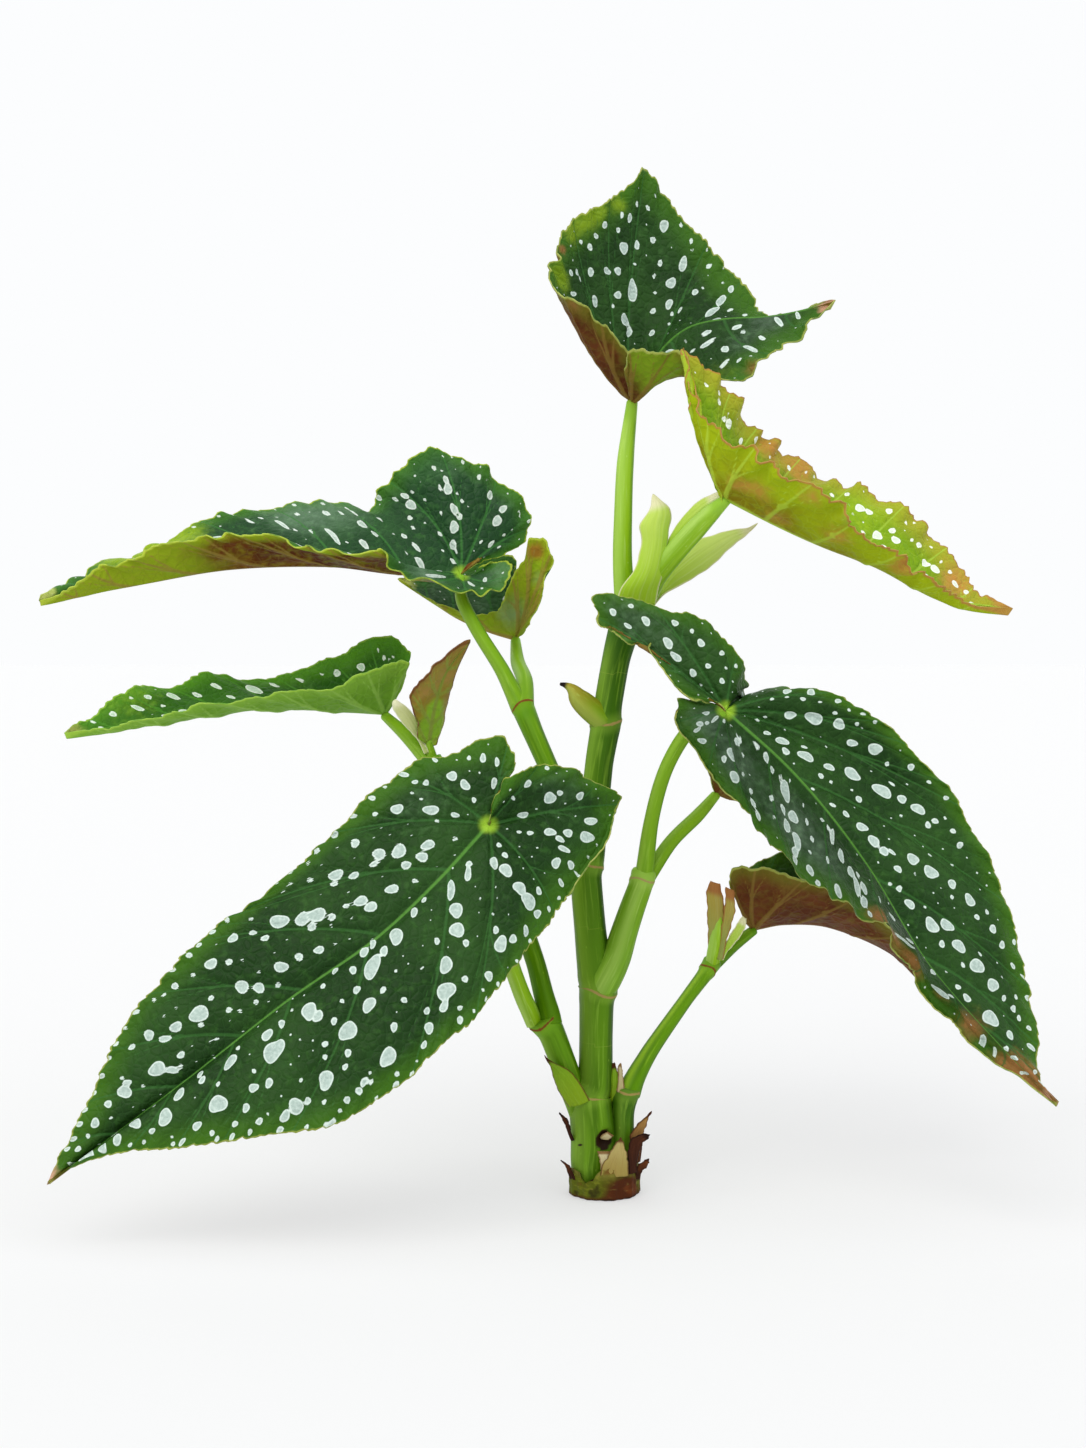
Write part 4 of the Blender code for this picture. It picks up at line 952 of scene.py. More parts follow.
spotsSeen = {
    "front": [
        (452, 776, 12, 10), (465, 785, 12, 10), (483, 758, 12, 6), (469, 758, 6, 4), (497, 762, 10, 5),
        (494, 783, 12, 6), (528, 784, 11, 5), (550, 798, 15, 12), (560, 793, 7, 6), (580, 796, 10, 8),
        (513, 798, 4, 4), (523, 815, 12, 7), (591, 821, 16, 8), (550, 832, 13, 9), (568, 833, 12, 8),
        (560, 839, 12, 6), (587, 837, 18, 12), (530, 833, 7, 5), (519, 832, 6, 3), (564, 849, 14, 6),
        (556, 863, 11, 11), (571, 865, 9, 9), (499, 845, 6, 5), (505, 855, 7, 6), (494, 863, 14, 9),
        (506, 870, 15, 14), (469, 864, 8, 7), (468, 874, 15, 8), (455, 839, 7, 5), (428, 845, 16, 11),
        (422, 857, 15, 10), (406, 865, 13, 8), (399, 851, 16, 16), (379, 854, 16, 12), (431, 810, 17, 11),
        (397, 809, 13, 12), (455, 815, 9, 6), (437, 821, 5, 4), (415, 782, 6, 6), (426, 783, 7, 6),
        (474, 800, 6, 5), (403, 774, 12, 6), (435, 760, 8, 5), (547, 768, 5, 4), (585, 777, 5, 4),
        (595, 782, 5, 4), (412, 793, 4, 3), (421, 799, 4, 3), (375, 814, 6, 5), (355, 843, 11, 10),
        (337, 848, 4, 3), (374, 838, 4, 2), (385, 787, 5, 4), (372, 798, 9, 5), (353, 816, 9, 5),
        (334, 834, 10, 6), (317, 851, 8, 6), (520, 888, 15, 14), (529, 901, 19, 16), (539, 891, 9, 6),
        (561, 883, 10, 6), (537, 914, 10, 8), (549, 909, 8, 4), (526, 931, 12, 7), (530, 941, 6, 3),
        (597, 845, 3, 3), (588, 857, 5, 3), (579, 876, 4, 3), (559, 898, 4, 3), (493, 914, 3, 3),
        (374, 864, 11, 6), (336, 875, 16, 12), (334, 884, 10, 6), (354, 876, 12, 8), (392, 889, 15, 11),
        (415, 881, 7, 6), (436, 867, 3, 2), (451, 890, 21, 10), (424, 900, 7, 6), (414, 912, 12, 9),
        (361, 901, 15, 12), (371, 907, 14, 12), (346, 906, 7, 6), (332, 917, 9, 8), (352, 918, 4, 3),
        (331, 926, 4, 4), (456, 910, 18, 15), (457, 930, 18, 16), (480, 899, 4, 3), (396, 936, 20, 15),
        (384, 951, 13, 8), (372, 967, 28, 17), (373, 944, 11, 7), (364, 952, 12, 9), (353, 970, 9, 8),
        (335, 944, 5, 3), (335, 971, 9, 6), (437, 941, 8, 6), (466, 943, 9, 7), (496, 930, 8, 7),
        (501, 944, 18, 14), (513, 939, 9, 9), (517, 961, 4, 3), (446, 965, 18, 16), (422, 968, 4, 4),
        (396, 971, 4, 4), (465, 979, 8, 7), (489, 976, 11, 9), (446, 991, 21, 20), (444, 1006, 14, 10),
        (357, 990, 10, 7), (383, 990, 9, 6), (342, 1001, 5, 5), (369, 1005, 19, 13), (404, 1000, 7, 7),
        (483, 990, 4, 3), (427, 1011, 8, 7), (460, 1008, 6, 6), (460, 1020, 9, 7), (309, 1011, 22, 15),
        (318, 1016, 16, 9), (334, 1021, 10, 6), (348, 1031, 25, 18), (394, 1027, 11, 8),
        (429, 1028, 13, 11), (325, 1044, 7, 7), (348, 1053, 9, 8), (424, 1045, 9, 7), (325, 1057, 7, 5),
        (498, 984, 6, 3), (486, 999, 6, 3), (474, 1011, 5, 3), (456, 1034, 6, 3), (279, 921, 20, 15),
        (302, 919, 15, 15), (317, 915, 19, 16), (312, 927, 10, 9), (233, 938, 11, 11), (253, 933, 9, 6),
        (265, 938, 9, 8), (251, 919, 5, 4), (283, 892, 4, 3), (290, 884, 6, 4), (310, 880, 7, 6),
        (308, 863, 6, 6), (300, 864, 8, 6), (290, 872, 8, 6), (277, 883, 5, 3), (261, 896, 8, 7),
        (242, 908, 8, 7), (227, 920, 6, 5), (212, 932, 8, 5), (199, 945, 7, 6), (189, 955, 7, 7),
        (172, 970, 10, 6), (156, 987, 8, 5), (216, 945, 3, 3), (211, 964, 13, 13), (229, 962, 9, 7),
        (242, 960, 4, 4), (193, 975, 5, 5), (281, 967, 15, 13), (299, 957, 10, 9), (319, 950, 12, 9),
        (242, 987, 16, 14), (259, 988, 13, 12), (278, 985, 7, 6), (259, 972, 5, 3), (175, 986, 8, 8),
        (164, 995, 5, 5), (154, 1000, 5, 5), (211, 998, 7, 6), (323, 986, 7, 5), (256, 1002, 6, 6),
        (199, 1014, 23, 17), (201, 1025, 7, 6), (176, 1027, 13, 12), (149, 1035, 12, 11),
        (165, 1039, 13, 8), (132, 1047, 8, 6), (164, 1016, 4, 3), (176, 1008, 4, 3), (229, 1010, 8, 6),
        (240, 1011, 5, 5), (230, 1020, 3, 3), (217, 1039, 5, 4), (210, 1042, 3, 3), (181, 1055, 9, 8),
        (157, 1069, 20, 15), (172, 1070, 15, 8), (181, 1066, 5, 5), (125, 1092, 16, 14), (127, 1083, 9, 8),
        (122, 1078, 5, 4), (143, 1086, 4, 4), (108, 1104, 9, 8), (95, 1123, 10, 10), (111, 1118, 4, 3),
        (88, 1136, 5, 5), (78, 1149, 7, 6), (89, 1153, 9, 5), (102, 1147, 10, 7), (117, 1139, 12, 8),
        (135, 1123, 13, 9), (165, 1117, 20, 15), (179, 1094, 15, 9), (200, 1074, 9, 6), (202, 1080, 9, 6),
        (230, 1062, 20, 11), (238, 1048, 6, 4), (218, 1084, 7, 4), (218, 1104, 22, 18), (154, 1106, 4, 3),
        (152, 1131, 7, 6), (197, 1126, 11, 9), (212, 1133, 7, 5), (172, 1137, 3, 3), (144, 1142, 5, 4),
        (130, 1145, 5, 4), (131, 1151, 5, 3), (173, 1144, 6, 4), (182, 1142, 11, 5), (246, 1108, 10, 9),
        (235, 1124, 8, 6), (217, 1139, 7, 4), (232, 1137, 11, 5), (254, 1088, 11, 10), (254, 1071, 5, 5),
        (258, 1122, 6, 5), (136, 1012, 9, 5), (125, 1028, 7, 4), (116, 1044, 7, 5), (109, 1058, 7, 4),
        (102, 1076, 7, 5), (95, 1083, 6, 4), (93, 1093, 9, 5), (85, 1110, 7, 5), (79, 1124, 9, 5),
        (73, 1139, 8, 5), (67, 1149, 7, 5), (82, 1158, 9, 4), (73, 1164, 9, 5), (282, 1024, 9, 7),
        (292, 1010, 5, 3), (267, 1035, 14, 10), (274, 1051, 28, 20), (269, 1083, 11, 9), (300, 1040, 3, 3),
        (345, 1067, 8, 6), (326, 1080, 22, 17), (301, 1080, 5, 4), (296, 1106, 18, 16), (285, 1116, 14, 10),
        (308, 1101, 8, 7), (324, 1102, 6, 5), (347, 1100, 9, 7), (359, 1091, 9, 8), (364, 1082, 12, 7),
        (371, 1082, 7, 5), (370, 1073, 5, 3), (340, 1111, 6, 5), (388, 1057, 26, 15), (397, 1074, 6, 6),
        (396, 1086, 13, 6), (412, 1074, 7, 5), (417, 1061, 4, 3), (376, 1098, 7, 4), (326, 1125, 9, 5),
        (333, 1122, 11, 5), (307, 1127, 7, 5), (280, 1130, 10, 6), (250, 1132, 8, 4), (260, 1121, 8, 6),
        (268, 1114, 3, 3),
    ],
    "right": [
        (613, 612, 9, 7), (631, 606, 7, 5), (628, 626, 9, 5), (646, 621, 12, 8), (675, 623, 8, 7),
        (692, 631, 5, 5), (701, 643, 9, 8), (668, 643, 15, 9), (676, 657, 14, 8), (722, 653, 6, 6),
        (708, 666, 6, 6), (693, 673, 10, 7), (722, 681, 6, 6), (790, 715, 14, 8), (814, 718, 19, 14),
        (839, 724, 14, 11), (803, 699, 6, 4), (782, 741, 15, 8), (806, 756, 18, 10), (852, 743, 12, 8),
        (875, 749, 17, 12), (829, 767, 12, 7), (852, 774, 21, 11), (887, 764, 5, 5), (911, 767, 8, 7),
        (882, 791, 22, 13), (902, 799, 12, 8), (918, 809, 16, 11), (928, 825, 7, 7), (935, 821, 8, 6),
        (953, 831, 6, 6), (913, 859, 16, 10), (931, 872, 20, 12), (960, 845, 7, 7), (910, 904, 12, 10),
        (970, 900, 14, 11), (987, 912, 5, 5), (977, 917, 6, 6), (932, 925, 18, 14), (947, 925, 17, 13),
        (993, 929, 9, 7), (959, 946, 16, 13), (977, 966, 18, 14), (993, 985, 15, 12), (1004, 998, 6, 5),
        (991, 1018, 19, 15), (1010, 1035, 10, 7), (726, 668, 3, 3), (736, 666, 4, 3), (701, 685, 4, 2),
        (772, 699, 4, 3), (787, 697, 4, 2), (820, 702, 4, 2), (835, 713, 5, 4), (849, 710, 4, 3),
        (857, 724, 5, 4), (862, 728, 2, 2), (765, 717, 4, 3), (757, 720, 5, 3), (767, 733, 8, 5),
        (804, 747, 7, 3), (786, 751, 9, 7), (821, 776, 6, 6), (831, 782, 4, 4), (813, 789, 4, 3),
        (852, 790, 3, 3), (859, 799, 7, 7), (833, 805, 7, 4), (846, 814, 9, 6), (822, 820, 5, 4),
        (892, 784, 8, 3), (901, 816, 4, 3), (929, 782, 5, 4), (946, 798, 6, 5), (945, 818, 4, 3),
        (862, 827, 14, 9), (874, 841, 13, 12), (884, 851, 10, 10), (892, 852, 10, 4), (930, 855, 5, 3),
        (898, 869, 9, 7), (915, 874, 3, 3), (952, 865, 4, 3), (952, 884, 11, 9), (899, 889, 7, 6),
        (890, 884, 5, 3), (925, 907, 4, 3), (952, 897, 5, 4), (942, 944, 7, 7), (963, 965, 6, 4),
        (946, 972, 4, 2), (958, 987, 7, 5), (967, 998, 10, 7), (1002, 977, 3, 2), (1014, 942, 6, 5),
        (1002, 945, 7, 7), (1013, 966, 7, 5), (980, 954, 5, 4), (1027, 998, 7, 4), (1016, 997, 5, 4),
        (1013, 1009, 7, 6), (1019, 1018, 6, 5), (1006, 1049, 7, 4), (1014, 1058, 9, 4), (787, 691, 10, 3),
        (811, 692, 9, 4), (838, 701, 7, 5), (863, 714, 6, 3), (875, 722, 5, 4), (1023, 977, 8, 3),
        (1029, 1028, 6, 4), (1031, 1047, 12, 4), (1024, 1073, 9, 3), (1035, 1072, 5, 3), (706, 713, 9, 4),
        (715, 719, 10, 4), (724, 721, 5, 3), (731, 726, 4, 3), (700, 724, 8, 6), (707, 723, 5, 4),
        (697, 730, 8, 5), (702, 741, 11, 6), (737, 733, 3, 2), (740, 740, 8, 4), (737, 742, 11, 6),
        (732, 754, 15, 8), (743, 755, 6, 3), (724, 759, 8, 6), (754, 743, 6, 3), (758, 747, 9, 3),
        (766, 757, 12, 5), (772, 770, 10, 6), (780, 777, 8, 3), (735, 777, 13, 9), (743, 774, 6, 4),
        (749, 775, 4, 3), (751, 791, 8, 4), (772, 798, 8, 5), (753, 803, 10, 6), (785, 791, 24, 12),
        (790, 781, 4, 2), (783, 809, 11, 6), (793, 817, 15, 11), (787, 826, 14, 9), (807, 822, 8, 4),
        (774, 817, 5, 3), (803, 805, 5, 3), (758, 816, 14, 5), (797, 841, 19, 10), (795, 852, 13, 8),
        (795, 860, 12, 6), (812, 839, 8, 4), (810, 852, 5, 4), (828, 828, 7, 4), (832, 837, 19, 6),
        (841, 856, 16, 8), (828, 860, 8, 4), (810, 870, 13, 7), (851, 872, 14, 8), (858, 875, 7, 4),
        (818, 883, 8, 4), (838, 891, 17, 6), (857, 887, 20, 7), (864, 888, 15, 6), (864, 902, 14, 7),
        (880, 900, 8, 3), (892, 917, 10, 5), (905, 941, 26, 5), (910, 941, 10, 4), (870, 914, 8, 4),
        (933, 972, 7, 4), (940, 992, 22, 8), (951, 996, 7, 3), (983, 1041, 16, 7), (995, 1051, 10, 4),
    ],
    "upper_left": [
        (443, 456, 3, 3), (452, 457, 3, 3), (463, 462, 5, 4), (480, 467, 3, 3), (434, 468, 7, 4),
        (442, 471, 3, 3), (415, 476, 3, 3), (421, 482, 4, 2), (446, 480, 11, 5), (448, 489, 14, 9),
        (440, 488, 9, 3), (479, 477, 6, 5), (487, 480, 4, 2), (493, 477, 3, 2), (512, 489, 3, 3),
        (504, 483, 4, 3), (457, 493, 4, 3), (490, 495, 9, 7), (462, 501, 6, 4), (454, 509, 13, 8),
        (468, 507, 3, 2), (441, 513, 6, 3), (460, 517, 7, 6), (454, 527, 14, 10), (440, 534, 7, 4),
        (453, 545, 12, 8), (453, 561, 8, 6), (456, 551, 6, 3), (443, 551, 4, 3), (503, 509, 11, 7),
        (497, 521, 14, 9), (521, 504, 2, 2), (519, 512, 3, 3), (528, 511, 2, 2), (520, 517, 3, 3),
        (529, 521, 5, 4), (512, 530, 3, 2), (504, 535, 4, 3), (481, 542, 5, 3), (491, 544, 10, 4),
        (499, 547, 5, 2), (379, 498, 8, 6), (395, 499, 7, 4), (405, 496, 10, 6), (412, 492, 6, 3),
        (411, 505, 14, 9), (425, 500, 5, 3), (410, 518, 7, 5), (425, 523, 4, 2), (413, 528, 6, 4),
        (404, 536, 7, 5), (380, 504, 3, 2), (375, 534, 9, 5), (393, 534, 6, 2), (414, 545, 8, 4),
        (417, 548, 12, 4), (407, 553, 8, 2), (420, 563, 18, 6), (435, 576, 22, 4), (471, 584, 10, 3),
        (485, 580, 5, 4), (482, 588, 3, 2), (503, 573, 3, 2), (346, 508, 5, 2), (326, 513, 11, 5),
        (341, 513, 9, 3), (354, 513, 10, 3), (297, 514, 6, 4), (309, 512, 2, 2), (261, 518, 7, 2),
        (277, 517, 7, 2), (249, 521, 12, 3), (282, 524, 20, 4), (220, 526, 3, 3), (207, 526, 3, 2),
        (295, 530, 6, 3), (311, 531, 7, 3), (331, 533, 17, 5), (336, 539, 14, 5), (347, 542, 4, 3),
        (362, 524, 14, 7), (364, 544, 16, 6), (380, 519, 10, 2), (294, 505, 5, 3), (275, 509, 5, 2),
        (256, 510, 6, 2), (219, 516, 5, 2), (323, 504, 6, 2), (194, 527, 5, 2),
    ],
    "mid_left": [
        (216, 686, 14, 5), (173, 696, 18, 6), (197, 695, 13, 4), (148, 697, 8, 5), (138, 708, 15, 6),
        (113, 714, 10, 5), (93, 722, 7, 3), (131, 698, 5, 4), (163, 706, 6, 3), (231, 697, 10, 4),
        (254, 689, 22, 7), (274, 685, 12, 4), (300, 680, 11, 4), (337, 673, 9, 8), (322, 674, 5, 4),
        (361, 667, 11, 8), (378, 650, 5, 2), (384, 658, 7, 4), (389, 660, 4, 3), (393, 657, 5, 3),
    ],
    "top": [
        (655, 196, 4, 4), (648, 208, 6, 6), (630, 218, 10, 6), (637, 204, 7, 3), (622, 215, 8, 3),
        (605, 225, 8, 6), (618, 230, 7, 4), (596, 236, 7, 5), (581, 242, 5, 3), (571, 246, 4, 2),
        (590, 247, 8, 5), (664, 226, 15, 9), (681, 225, 5, 5), (624, 248, 15, 9), (637, 245, 10, 5),
        (653, 240, 8, 6), (691, 241, 7, 4), (692, 250, 4, 3), (707, 250, 4, 3), (660, 263, 7, 6),
        (683, 264, 18, 8), (709, 266, 8, 5), (723, 267, 4, 3), (635, 264, 4, 3), (654, 276, 5, 4),
        (607, 271, 8, 8), (618, 271, 8, 8), (591, 272, 10, 6), (577, 272, 8, 3), (580, 279, 8, 2),
        (571, 273, 8, 3), (573, 260, 4, 2), (671, 283, 13, 10), (632, 291, 26, 9), (655, 293, 4, 4),
        (618, 295, 9, 7), (595, 301, 13, 5), (573, 294, 6, 4), (695, 292, 8, 6), (731, 289, 8, 6),
        (723, 283, 4, 3), (703, 288, 3, 3), (721, 301, 13, 8), (712, 312, 17, 10), (730, 310, 7, 4),
        (717, 319, 8, 6), (745, 315, 6, 4), (669, 304, 11, 8), (672, 314, 5, 3), (653, 311, 7, 6),
        (613, 306, 5, 3), (625, 320, 14, 9), (629, 332, 11, 6), (652, 333, 7, 6), (669, 324, 3, 3),
        (680, 310, 9, 3), (737, 327, 12, 5), (706, 333, 15, 5), (686, 341, 7, 4), (708, 343, 20, 5),
        (725, 349, 9, 8), (743, 332, 6, 4), (751, 349, 16, 5), (762, 338, 8, 5), (779, 322, 15, 6),
        (798, 316, 9, 5), (724, 364, 18, 4), (739, 360, 8, 3), (751, 356, 3, 3), (693, 351, 10, 3),
    ],
    "upper_right": [
        (706, 385, 5, 5), (719, 393, 5, 5), (719, 402, 6, 6), (728, 414, 3, 3), (724, 419, 5, 5),
        (729, 424, 10, 7), (741, 441, 7, 5), (756, 440, 6, 6), (776, 452, 3, 3), (770, 457, 4, 3),
        (789, 468, 6, 4), (806, 472, 3, 3), (814, 477, 3, 3), (832, 495, 6, 4), (847, 494, 5, 5),
        (860, 508, 12, 8), (869, 512, 8, 7), (889, 511, 8, 7), (906, 523, 4, 4), (914, 523, 3, 3),
        (892, 531, 7, 7), (877, 536, 12, 9), (896, 540, 10, 8), (912, 540, 4, 4), (919, 545, 7, 7),
        (927, 539, 3, 3), (931, 547, 4, 3), (863, 532, 6, 3), (853, 514, 4, 3), (849, 505, 6, 2),
        (925, 564, 9, 7), (935, 569, 11, 8), (950, 572, 5, 4), (941, 562, 3, 3), (955, 584, 9, 6),
        (966, 592, 6, 4),
    ],
}

spotMake = {
    "grow": 0.2,            # added to each width, as the smallest spots would be lost
    "shrink": 0.88,         # of each width, as a photographed edge is soft
    "wobble": 0.11,         # how far an outline strays from an oval
    "narrow": 0.25,         # the least that a slanted blade shortens a spot by
    "longer": 1.3,          # usual length of a spot, of its width
    "facing": -0.03,        # a blade turned further than this shows its underside
    "tries": 4,             # sheets that a line of sight may pass to reach an upper side
    "step": 0.4,            # from a sheet to where the line goes on
    "lift": 0.8,            # height above the blade from which it looks back at the camera
    "starClear": 6,         # clear space round the foot of the blade
    "veinClear": 0.6,       # and beside a vein
    # spots out of the camera's sight: widths, clear space, tries for each 100 points, nearest and furthest
    # from the margin, and length of their width
    "unseen": {
        "large": (3.6, 6.0, 2.6, 1.2, 3.5, 90.0, 1.35),
        "medium": (2.0, 3.4, 2.0, 2.4, 2.5, 90.0, 1.4),
        "small": (0.9, 1.7, 1.5, 3.0, 2.0, 90.0, 1.2),
        "rim": (0.9, 1.3, 3.2, 3.0, 1.7, 2.8, 0.55),
        "dots": (0.45, 0.8, 2.6, 2.5, 1.8, 90.0, 1.1),      # these lie everywhere
    },
}


def spotAt(sheet, point, place, length, width, turn):
    # an oval lying on the blade at this point, with its long way outward from the midrib
    normal = sheet["normal"][point]
    along = sheet["outward"][point]
    along = unit(along - normal * (along @ normal))
    return {"place": np.array(place), "normal": normal, "along": along, "turn": turn,
            "half": (length / 2, width / 2)}


def seenSpots(name, sheet, draw):
    focal = camera["lens"] / 36 * camera["longPixels"]
    found = []
    for across, down, long, short in spotsSeen.get(name, []):
        way = pixelDirection(across, down)
        start = Vector(camera["place"])
        turn = draw.uniform(0, 6.28)
        for number in range(spotMake["tries"]):
            place, normal, face, distance = sheet["tree"].ray_cast(start, way)
            if place is None:
                break
            corners = sheet["polygons"][face]
            point = min(corners, key=lambda corner: np.linalg.norm(sheet["places"][corner] - place))
            if sheet["normal"][point] @ np.array(way) < spotMake["facing"]:
                scale = (place - Vector(camera["place"])).length / focal
                spot = spotAt(sheet, point, place, 1, 1, turn)
                cross = np.cross(spot["normal"], spot["along"])
                seen = [max(spotMake["narrow"], math.sqrt(max(0.0, 1 - float(axis @ np.array(way)) ** 2)))
                        for axis in (spot["along"], cross)]
                choices = [(long * scale / seen[0], short * scale / seen[1]),
                           (short * scale / seen[0], long * scale / seen[1])]
                length, width = min(choices, key=lambda size: abs(
                    math.log(size[0] / size[1] / spotMake["longer"])))
                spot["half"] = tuple((size * spotMake["shrink"] + spotMake["grow"] / (1 + size / 2)) / 2
                                     for size in (length, width))
                found.append(spot)
                break
            start = place + way * spotMake["step"]
    return found


def unseenSpots(sheet, found, draw):
    # spots scattered over the upper side wherever the camera does not see it
    eye = np.array(camera["place"])
    places = [spot["place"] for spot in found] + [np.full(3, 1e6)]
    reaches = [max(spot["half"]) for spot in found] + [0.0]
    for kind, (least, most, clear, tries, inner, outer, longer) in spotMake["unseen"].items():
        for number in range(int(len(sheet["used"]) * tries / 100)):
            point = int(sheet["used"][draw.randrange(len(sheet["used"]))])
            width, turn = draw.uniform(least, most), draw.uniform(0, 6.28)
            place, normal = sheet["places"][point], sheet["normal"][point]
            edge, reach = sheet["edge"][point], width / 2 * max(1, longer)
            if not inner + width / 2 <= edge <= outer + width / 2:
                continue
            if sheet["star"][point] < spotMake["starClear"] + reach:
                continue
            if sheet["vein"][point] < spotMake["veinClear"] + width / 3:
                continue
            if (np.linalg.norm(np.array(places) - place, axis=1) - np.array(reaches)).min() < clear + reach:
                continue
            back = Vector(eye - place)
            if kind != "dots" and Vector(normal).dot(back) > 0:
                lifted = Vector(place + normal * spotMake["lift"])
                if not any(other["tree"].ray_cast(lifted, back.normalized())[0] for other in sheets.values()):
                    continue
            found.append(spotAt(sheet, point, place, width * longer, width, turn))
            places.append(place)
            reaches.append(reach)


def spotField(sheet, found):
    # how far each point lies inside the outline of the nearest spot, in millimetres
    field = np.full(len(sheet["places"]), -4.0)
    for spot in found:
        long, wide = spot["half"]
        away = sheet["places"] - spot["place"]
        near = np.flatnonzero((away ** 2).sum(axis=1) < (max(long, wide) + 3) ** 2)
        away = away[near]
        level = (np.abs(away @ spot["normal"]) < 2.5) & (sheet["normal"][near] @ spot["normal"] > 0.3)
        near, away = near[level], away[level]
        a = away @ spot["along"] / long
        b = away @ np.cross(spot["normal"], spot["along"]) / wide
        reach, angle = np.hypot(a, b) + 1e-6, np.arctan2(b, a)
        waves = np.sin(2 * angle + spot["turn"]) + 0.7 * np.sin(3 * angle + 2.3 * spot["turn"])
        rim = 1 + spotMake["wobble"] * waves
        inside = (rim - reach) * reach / (np.hypot(a / long, b / wide) + 1e-6)
        field[near] = np.maximum(field[near], np.minimum(inside, min(long, wide)))
    return field


# Patches of colour, set by pixel as the spots are: across, down, reach in mm and strength.
# Lime is where the blade is thin or young, warm where it dries, and the sheen patches are painted sheen, a
# painted reflection where the waxy blade catches light.

tonesSeen = {
    "front": {"paintedSheen": [(560, 790, 12, 0.3), (420, 800, 14, 0.25)]},
    "right": {
        "paintedSheen": [
            (735, 760, 13, 0.5), (790, 820, 14, 0.5), (830, 865, 12, 0.4), (700, 720, 8, 0.5),
            (880, 905, 10, 0.25), (640, 625, 12, 0.3), (675, 650, 10, 0.2), (615, 600, 8, 0.2),
        ],
        "warm": [
            (880, 915, 5, 0.9), (893, 935, 5, 0.9), (912, 963, 6, 0.9), (940, 995, 4, 0.5),
            (970, 1025, 6, 0.9), (1005, 1065, 6, 0.8), (1022, 1078, 6, 0.9), (1040, 1092, 7, 0.9),
        ],
    },
    "upper_left": {
        "lime": [(150, 545, 14, 0.8), (190, 535, 8, 0.5), (115, 560, 10, 0.6)],
        "warm": [(240, 565, 12, 0.45), (300, 560, 10, 0.35)],
        "paintedSheen": [
            (340, 512, 14, 0.6), (290, 518, 12, 0.6), (425, 575, 9, 0.8), (450, 470, 10, 0.3),
            (500, 500, 9, 0.3), (500, 572, 8, 0.6),
        ],
    },
    "mid_left": {"lime": [(130, 700, 16, 0.35)], "paintedSheen": [(300, 685, 14, 0.2)]},
    "top": {
        "lime": [
            (560, 278, 6, 1.0), (600, 211, 3, 0.6), (580, 225, 3, 0.5), (642, 358, 6, 0.9),
            (668, 366, 7, 1.1), (648, 385, 8, 0.6), (720, 375, 8, 0.35), (618, 205, 4, 0.8),
            (592, 217, 5, 0.9), (572, 232, 5, 0.9),
        ],
        "warm": [(563, 250, 2, 0.9), (575, 305, 3, 0.6), (752, 368, 4, 0.6)],
        "paintedSheen": [(640, 260, 16, 0.1), (700, 280, 14, 0.12), (770, 318, 9, 0.5), (740, 345, 8, 0.35)],
    },
    "upper_right": {
        "lime": [(710, 400, 9, 0.3), (870, 515, 14, 0.5)],
        "warm": [
            (770, 446, 6, 0.8), (800, 468, 8, 0.8), (738, 484, 4, 0.6), (760, 490, 5, 0.6),
            (778, 517, 6, 0.5), (811, 495, 5, 0.6), (838, 536, 6, 0.6), (903, 563, 6, 0.8),
            (955, 582, 8, 0.8),
        ],
        "paintedSheen": [(845, 520, 6, 0.3)],
    },
    "folded": {
        "warm": [(536, 551, 3.5, 1.0)],
        "lime": [(536, 563, 4, 1.0), (520, 600, 6, 0.4), (486, 620, 4, 0.8)],
        "paintedSheen": [(538, 578, 4, 0.5), (512, 612, 8, 0.8), (435, 592, 8, 0.4), (478, 606, 7, 0.5)],
    },
    "young": {
        "lime": [(430, 728, 6.5, 1.6), (434, 708, 4, 1.1)],
        "warm": [(446, 675, 6, 0.5), (425, 692, 4, 0.6)], "paintedSheen": [(444, 705, 4, 0.6)],
    },
    "lower_right": {"warm": [(790, 880, 12, 0.3)]},
}


# amounts of lime, warm and sheen at each point; the sheen is painted sheen, a painted reflection
def toneField(name, sheet):
    field = np.zeros((len(sheet["places"]), 3))
    for number, tone in enumerate(("lime", "warm", "paintedSheen")):
        for across, down, reach, strength in tonesSeen.get(name, {}).get(tone, []):
            place = sheet["tree"].ray_cast(Vector(camera["place"]), pixelDirection(across, down))[0]
            if place is None:
                print("no blade under the", tone, "patch of", name, across, down)
                continue
            away = np.linalg.norm(sheet["places"] - np.array(place), axis=1)
            field[:, number] += strength * np.exp(-(away / reach) ** 2)
    return field


for name, sheet in sheets.items():
    sheet["tones"] = toneField(name, sheet)
    sheet["spots"] = np.full(len(sheet["places"]), -4.0)
    if blades[name]["look"] == "fresh":
        continue
    draw = random.Random("spots " + name)
    spots = seenSpots(name, sheet, draw)
    print("spots on", name, "as photographed:", len(spots), "of", len(spotsSeen.get(name, [])))
    unseenSpots(sheet, spots, draw)
    sheet["spots"] = spotField(sheet, spots)


def makeBlade(name, sheet):
    maps = {
        "bladeMap": np.stack([sheet["edge"], sheet["spots"], sheet["tip"]], axis=1),
        "bladeVeins": np.stack([sheet["veinLine"], sheet["ribLine"], sheet["star"]], axis=1),
        "bladeTone": sheet["tones"],
    }
    piece = meshFrom(name + "Blade", sheet["places"], sheet["faces"], maps, bladeSkins[blades[name]["look"]])
    # thickened downward, with skins of their own for the underside and the hem
    solid = thicken(piece, bladeMake["thick"], -1.0)
    solid.material_offset = 1
    solid.material_offset_rim = 2
    settle(piece, name + "_leaf")


for name, sheet in sheets.items():
    makeBlade(name, sheet)
print("blades made")
